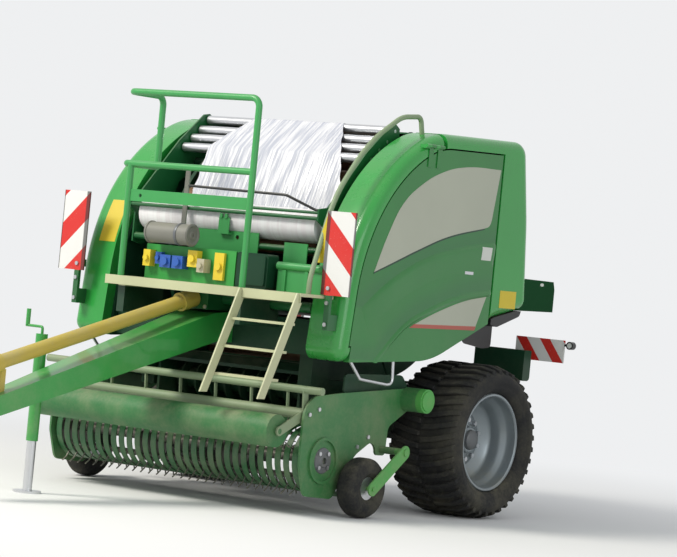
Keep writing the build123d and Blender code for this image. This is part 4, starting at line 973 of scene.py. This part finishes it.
def bend(roller, start, end, rows):
    """Places round a guide roller after the first, from one direction to another."""
    return [Vector(roller) + Vector((cos(turn), sin(turn))) * (GUIDE_R + WEB_GAP)
            for turn in evenly(start, end, rows)[1:]]


def web_line():
    """Side line of the film web: round the roll, over the last guide roller and over the first."""
    guide, top = GUIDES[-1], GUIDES[0]
    start, reach, first = tangent(ROLL, guide, (-ROLL_R - ROLL_GAP, GUIDE_R + WEB_GAP))
    leave, land, second = tangent(guide, top, (GUIDE_R + WEB_GAP, GUIDE_R + WEB_GAP))
    return (evenly(start, reach, RUN_ROWS) + bend(guide, first, second, BEND_ROWS)[:-1]
            + evenly(leave, land, TOP_ROWS) + bend(top, second, WEB_END, BEND_ROWS))


def web_edges(height):
    """Right and left edge of the film at a height."""
    for (low_z, low_right, low_left), (z, right, left) in zip(WEB_EDGES, WEB_EDGES[1:]):
        if height <= z:
            part = max(0.0, (height - low_z) / (z - low_z))
            return low_right + (right - low_right) * part, low_left + (left - low_left) * part
    return WEB_EDGES[-1][1:]


def roller_grip(place):
    """How closely a roller holds the film flat at a place, 0 to 1."""
    best = 0.0
    for centre, reach in ((ROLL, ROLL_R), (GUIDES[-1], GUIDE_R), (GUIDES[0], GUIDE_R)):
        away = (place - Vector(centre)).length - reach
        best = max(best, 1 - min(1.0, max(0.0, away) / GRIP_FADE))
    return best


def crease(across, along):
    """Height of the film's long folds at a place: rounded ridges with sharp valleys, a few of them deep."""
    drift = sum((share * sin(along * pace) for share, pace in WANDER), across)
    folds = 0.0
    for count, size, turn in FOLDS:
        phase = pi * count * drift + turn + 1.1 * sin(along * 4 + count)
        strength = 0.55 + 0.45 * sin(across * 7.0 + along * 2.0 + count * 1.7)
        folds += size * strength * abs(sin(phase))
    return folds


def film_sheet():
    """Film stretched from its roll over the guide rollers, gathered into long creases."""
    line = web_line()
    last = len(line) - 1
    web = added(bpy.ops.mesh.primitive_grid_add, x_subdivisions=WEB_COLUMNS, y_subdivisions=last, size=2)
    runs = [0.0]
    for before, after in zip(line, line[1:]):
        runs.append(runs[-1] + (after - before).length)
    for vertex in web.data.vertices:
        row = round((vertex.co.y + 1) / 2 * last)
        across = (vertex.co.x + 1) / 2
        place = line[row]
        low, high = web_edges(place.y)
        heading = (line[min(row + 1, last)] - line[max(row - 1, 0)]).normalized()
        out = Vector((-heading.y, heading.x))
        loose = 1 - roller_grip(place)
        ragged = RAGGED_EDGE[0] * sin(runs[row] * RAGGED_EDGE[1]) * loose
        spread = across + 0.004 * sin(across * 60 + runs[row] * 3)
        lift = crease(across, runs[row]) * (GRIPPED_FOLDS + (1 - GRIPPED_FOLDS) * loose)
        spot = place + out * (WEB_GAP + lift)
        x = low + (high - low) * spread + (ragged if across in (0.0, 1.0) else 0)
        vertex.co = (x, spot.x + AXLE_Y, spot.y)
    apply_modifier(web, "SOLIDIFY", thickness=FILM_THICKNESS, offset=1)
    settle(web)
    bpy.ops.object.shade_smooth_by_angle(angle=radians(60))
    dress(web, "creased_film", "web", "frame")
    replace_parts(web, "film_web")


# Camera, floor and light

def photo_camera():
    """Camera at the photograph's place and angle, with its slight roll."""
    data = bpy.data.cameras.new("photo_camera")
    data.sensor_fit = "HORIZONTAL"
    data.sensor_width = SENSOR
    data.lens = SENSOR * FOCAL_PIXELS / PHOTO_WIDTH
    data.clip_end = FLOOR_SIZE
    camera = bpy.data.objects.new("photo_camera", data)
    bpy.context.scene.collection.objects.link(camera)
    place = Matrix.Translation(CAMERA_AT)
    for turn, axis in ((CAMERA_TURN, "Z"), (pi / 2 + CAMERA_TILT, "X"), (CAMERA_ROLL, "Z")):
        place = place @ Matrix.Rotation(turn, 4, axis)
    camera.matrix_world = place
    bpy.context.scene.camera = camera


def mixed(tree, factor, first, second, target):
    """Mix of two shaders by a socket, into the output node."""
    mix = add_node(tree, "MixShader")
    for index, socket in enumerate((factor, first.outputs[0], second.outputs[0])):
        feed(tree, socket, mix.inputs[index])
    feed(tree, mix.outputs[0], target.inputs["Surface"])


def studio_floor():
    """Pale floor that keeps the machine's shadow and fades into the background further out."""
    floor = added(bpy.ops.mesh.primitive_plane_add, size=FLOOR_SIZE)
    floor.name = "studio_floor"
    made, tree, shader = new_material("pale_floor")
    plug(tree, shader, Base_Color=FLOOR_WHITE, Roughness=0.85)
    reach = add_node(tree, "VectorMath", Vector=object_place(tree))
    reach.operation = "LENGTH"
    path = add_node(tree, "LightPath").outputs
    seen = larger(tree, path["Is Camera Ray"], path["Is Glossy Ray"])
    far = times(tree, ramp(tree, reach.outputs["Value"], *FLOOR_FADE), seen)
    glow = add_node(tree, "Emission", Color=BACKGROUND)
    mixed(tree, far, shader, glow, tree.nodes["Material Output"])
    floor.data.materials.append(made)


def area_light(name, place, size, power, colour):
    """Square lamp that points at the machine."""
    data = bpy.data.lights.new(name, "AREA")
    data.shape = "SQUARE"
    data.size = size
    data.energy = power
    data.color = colour
    lamp = bpy.data.objects.new(name, data)
    lamp.location = place
    lamp.rotation_euler = (Vector(LIGHT_AIM) - Vector(place)).to_track_quat("-Z", "Y").to_euler()
    bpy.context.scene.collection.objects.link(lamp)


def studio_light():
    """Pale surround with a large key lamp high in front and a soft fill from the left."""
    world = bpy.data.worlds.new("studio_world")
    bpy.context.scene.world = world
    world.use_nodes = True
    tree = world.node_tree
    tree.nodes.clear()
    path = add_node(tree, "LightPath").outputs
    seen = larger(tree, path["Is Camera Ray"], larger(tree, path["Is Glossy Ray"], path["Is Transmission Ray"]))
    lit = add_node(tree, "Background", Color=SKY, Strength=0.55)
    shown = add_node(tree, "Background", Color=BACKGROUND, Strength=1.0)
    mixed(tree, seen, lit, shown, add_node(tree, "OutputWorld"))
    area_light("key_lamp", (-5.0, -9.0, 11.0), 4.0, 1900, (1.0, 0.96, 0.88))
    area_light("fill_lamp", (11.0, -4.0, 5.0), 6.0, 290, (0.95, 0.97, 1.0))


photo_camera()
studio_floor()
studio_light()
dress_nodes()
blank_panels()
flank_plates()
door_swages()
tailgate_ribs()
canister_trim()
fasteners()
wheel_pieces()
gauge_pieces()
film_sheet()
bpy.context.scene.view_settings.view_transform = "Standard"
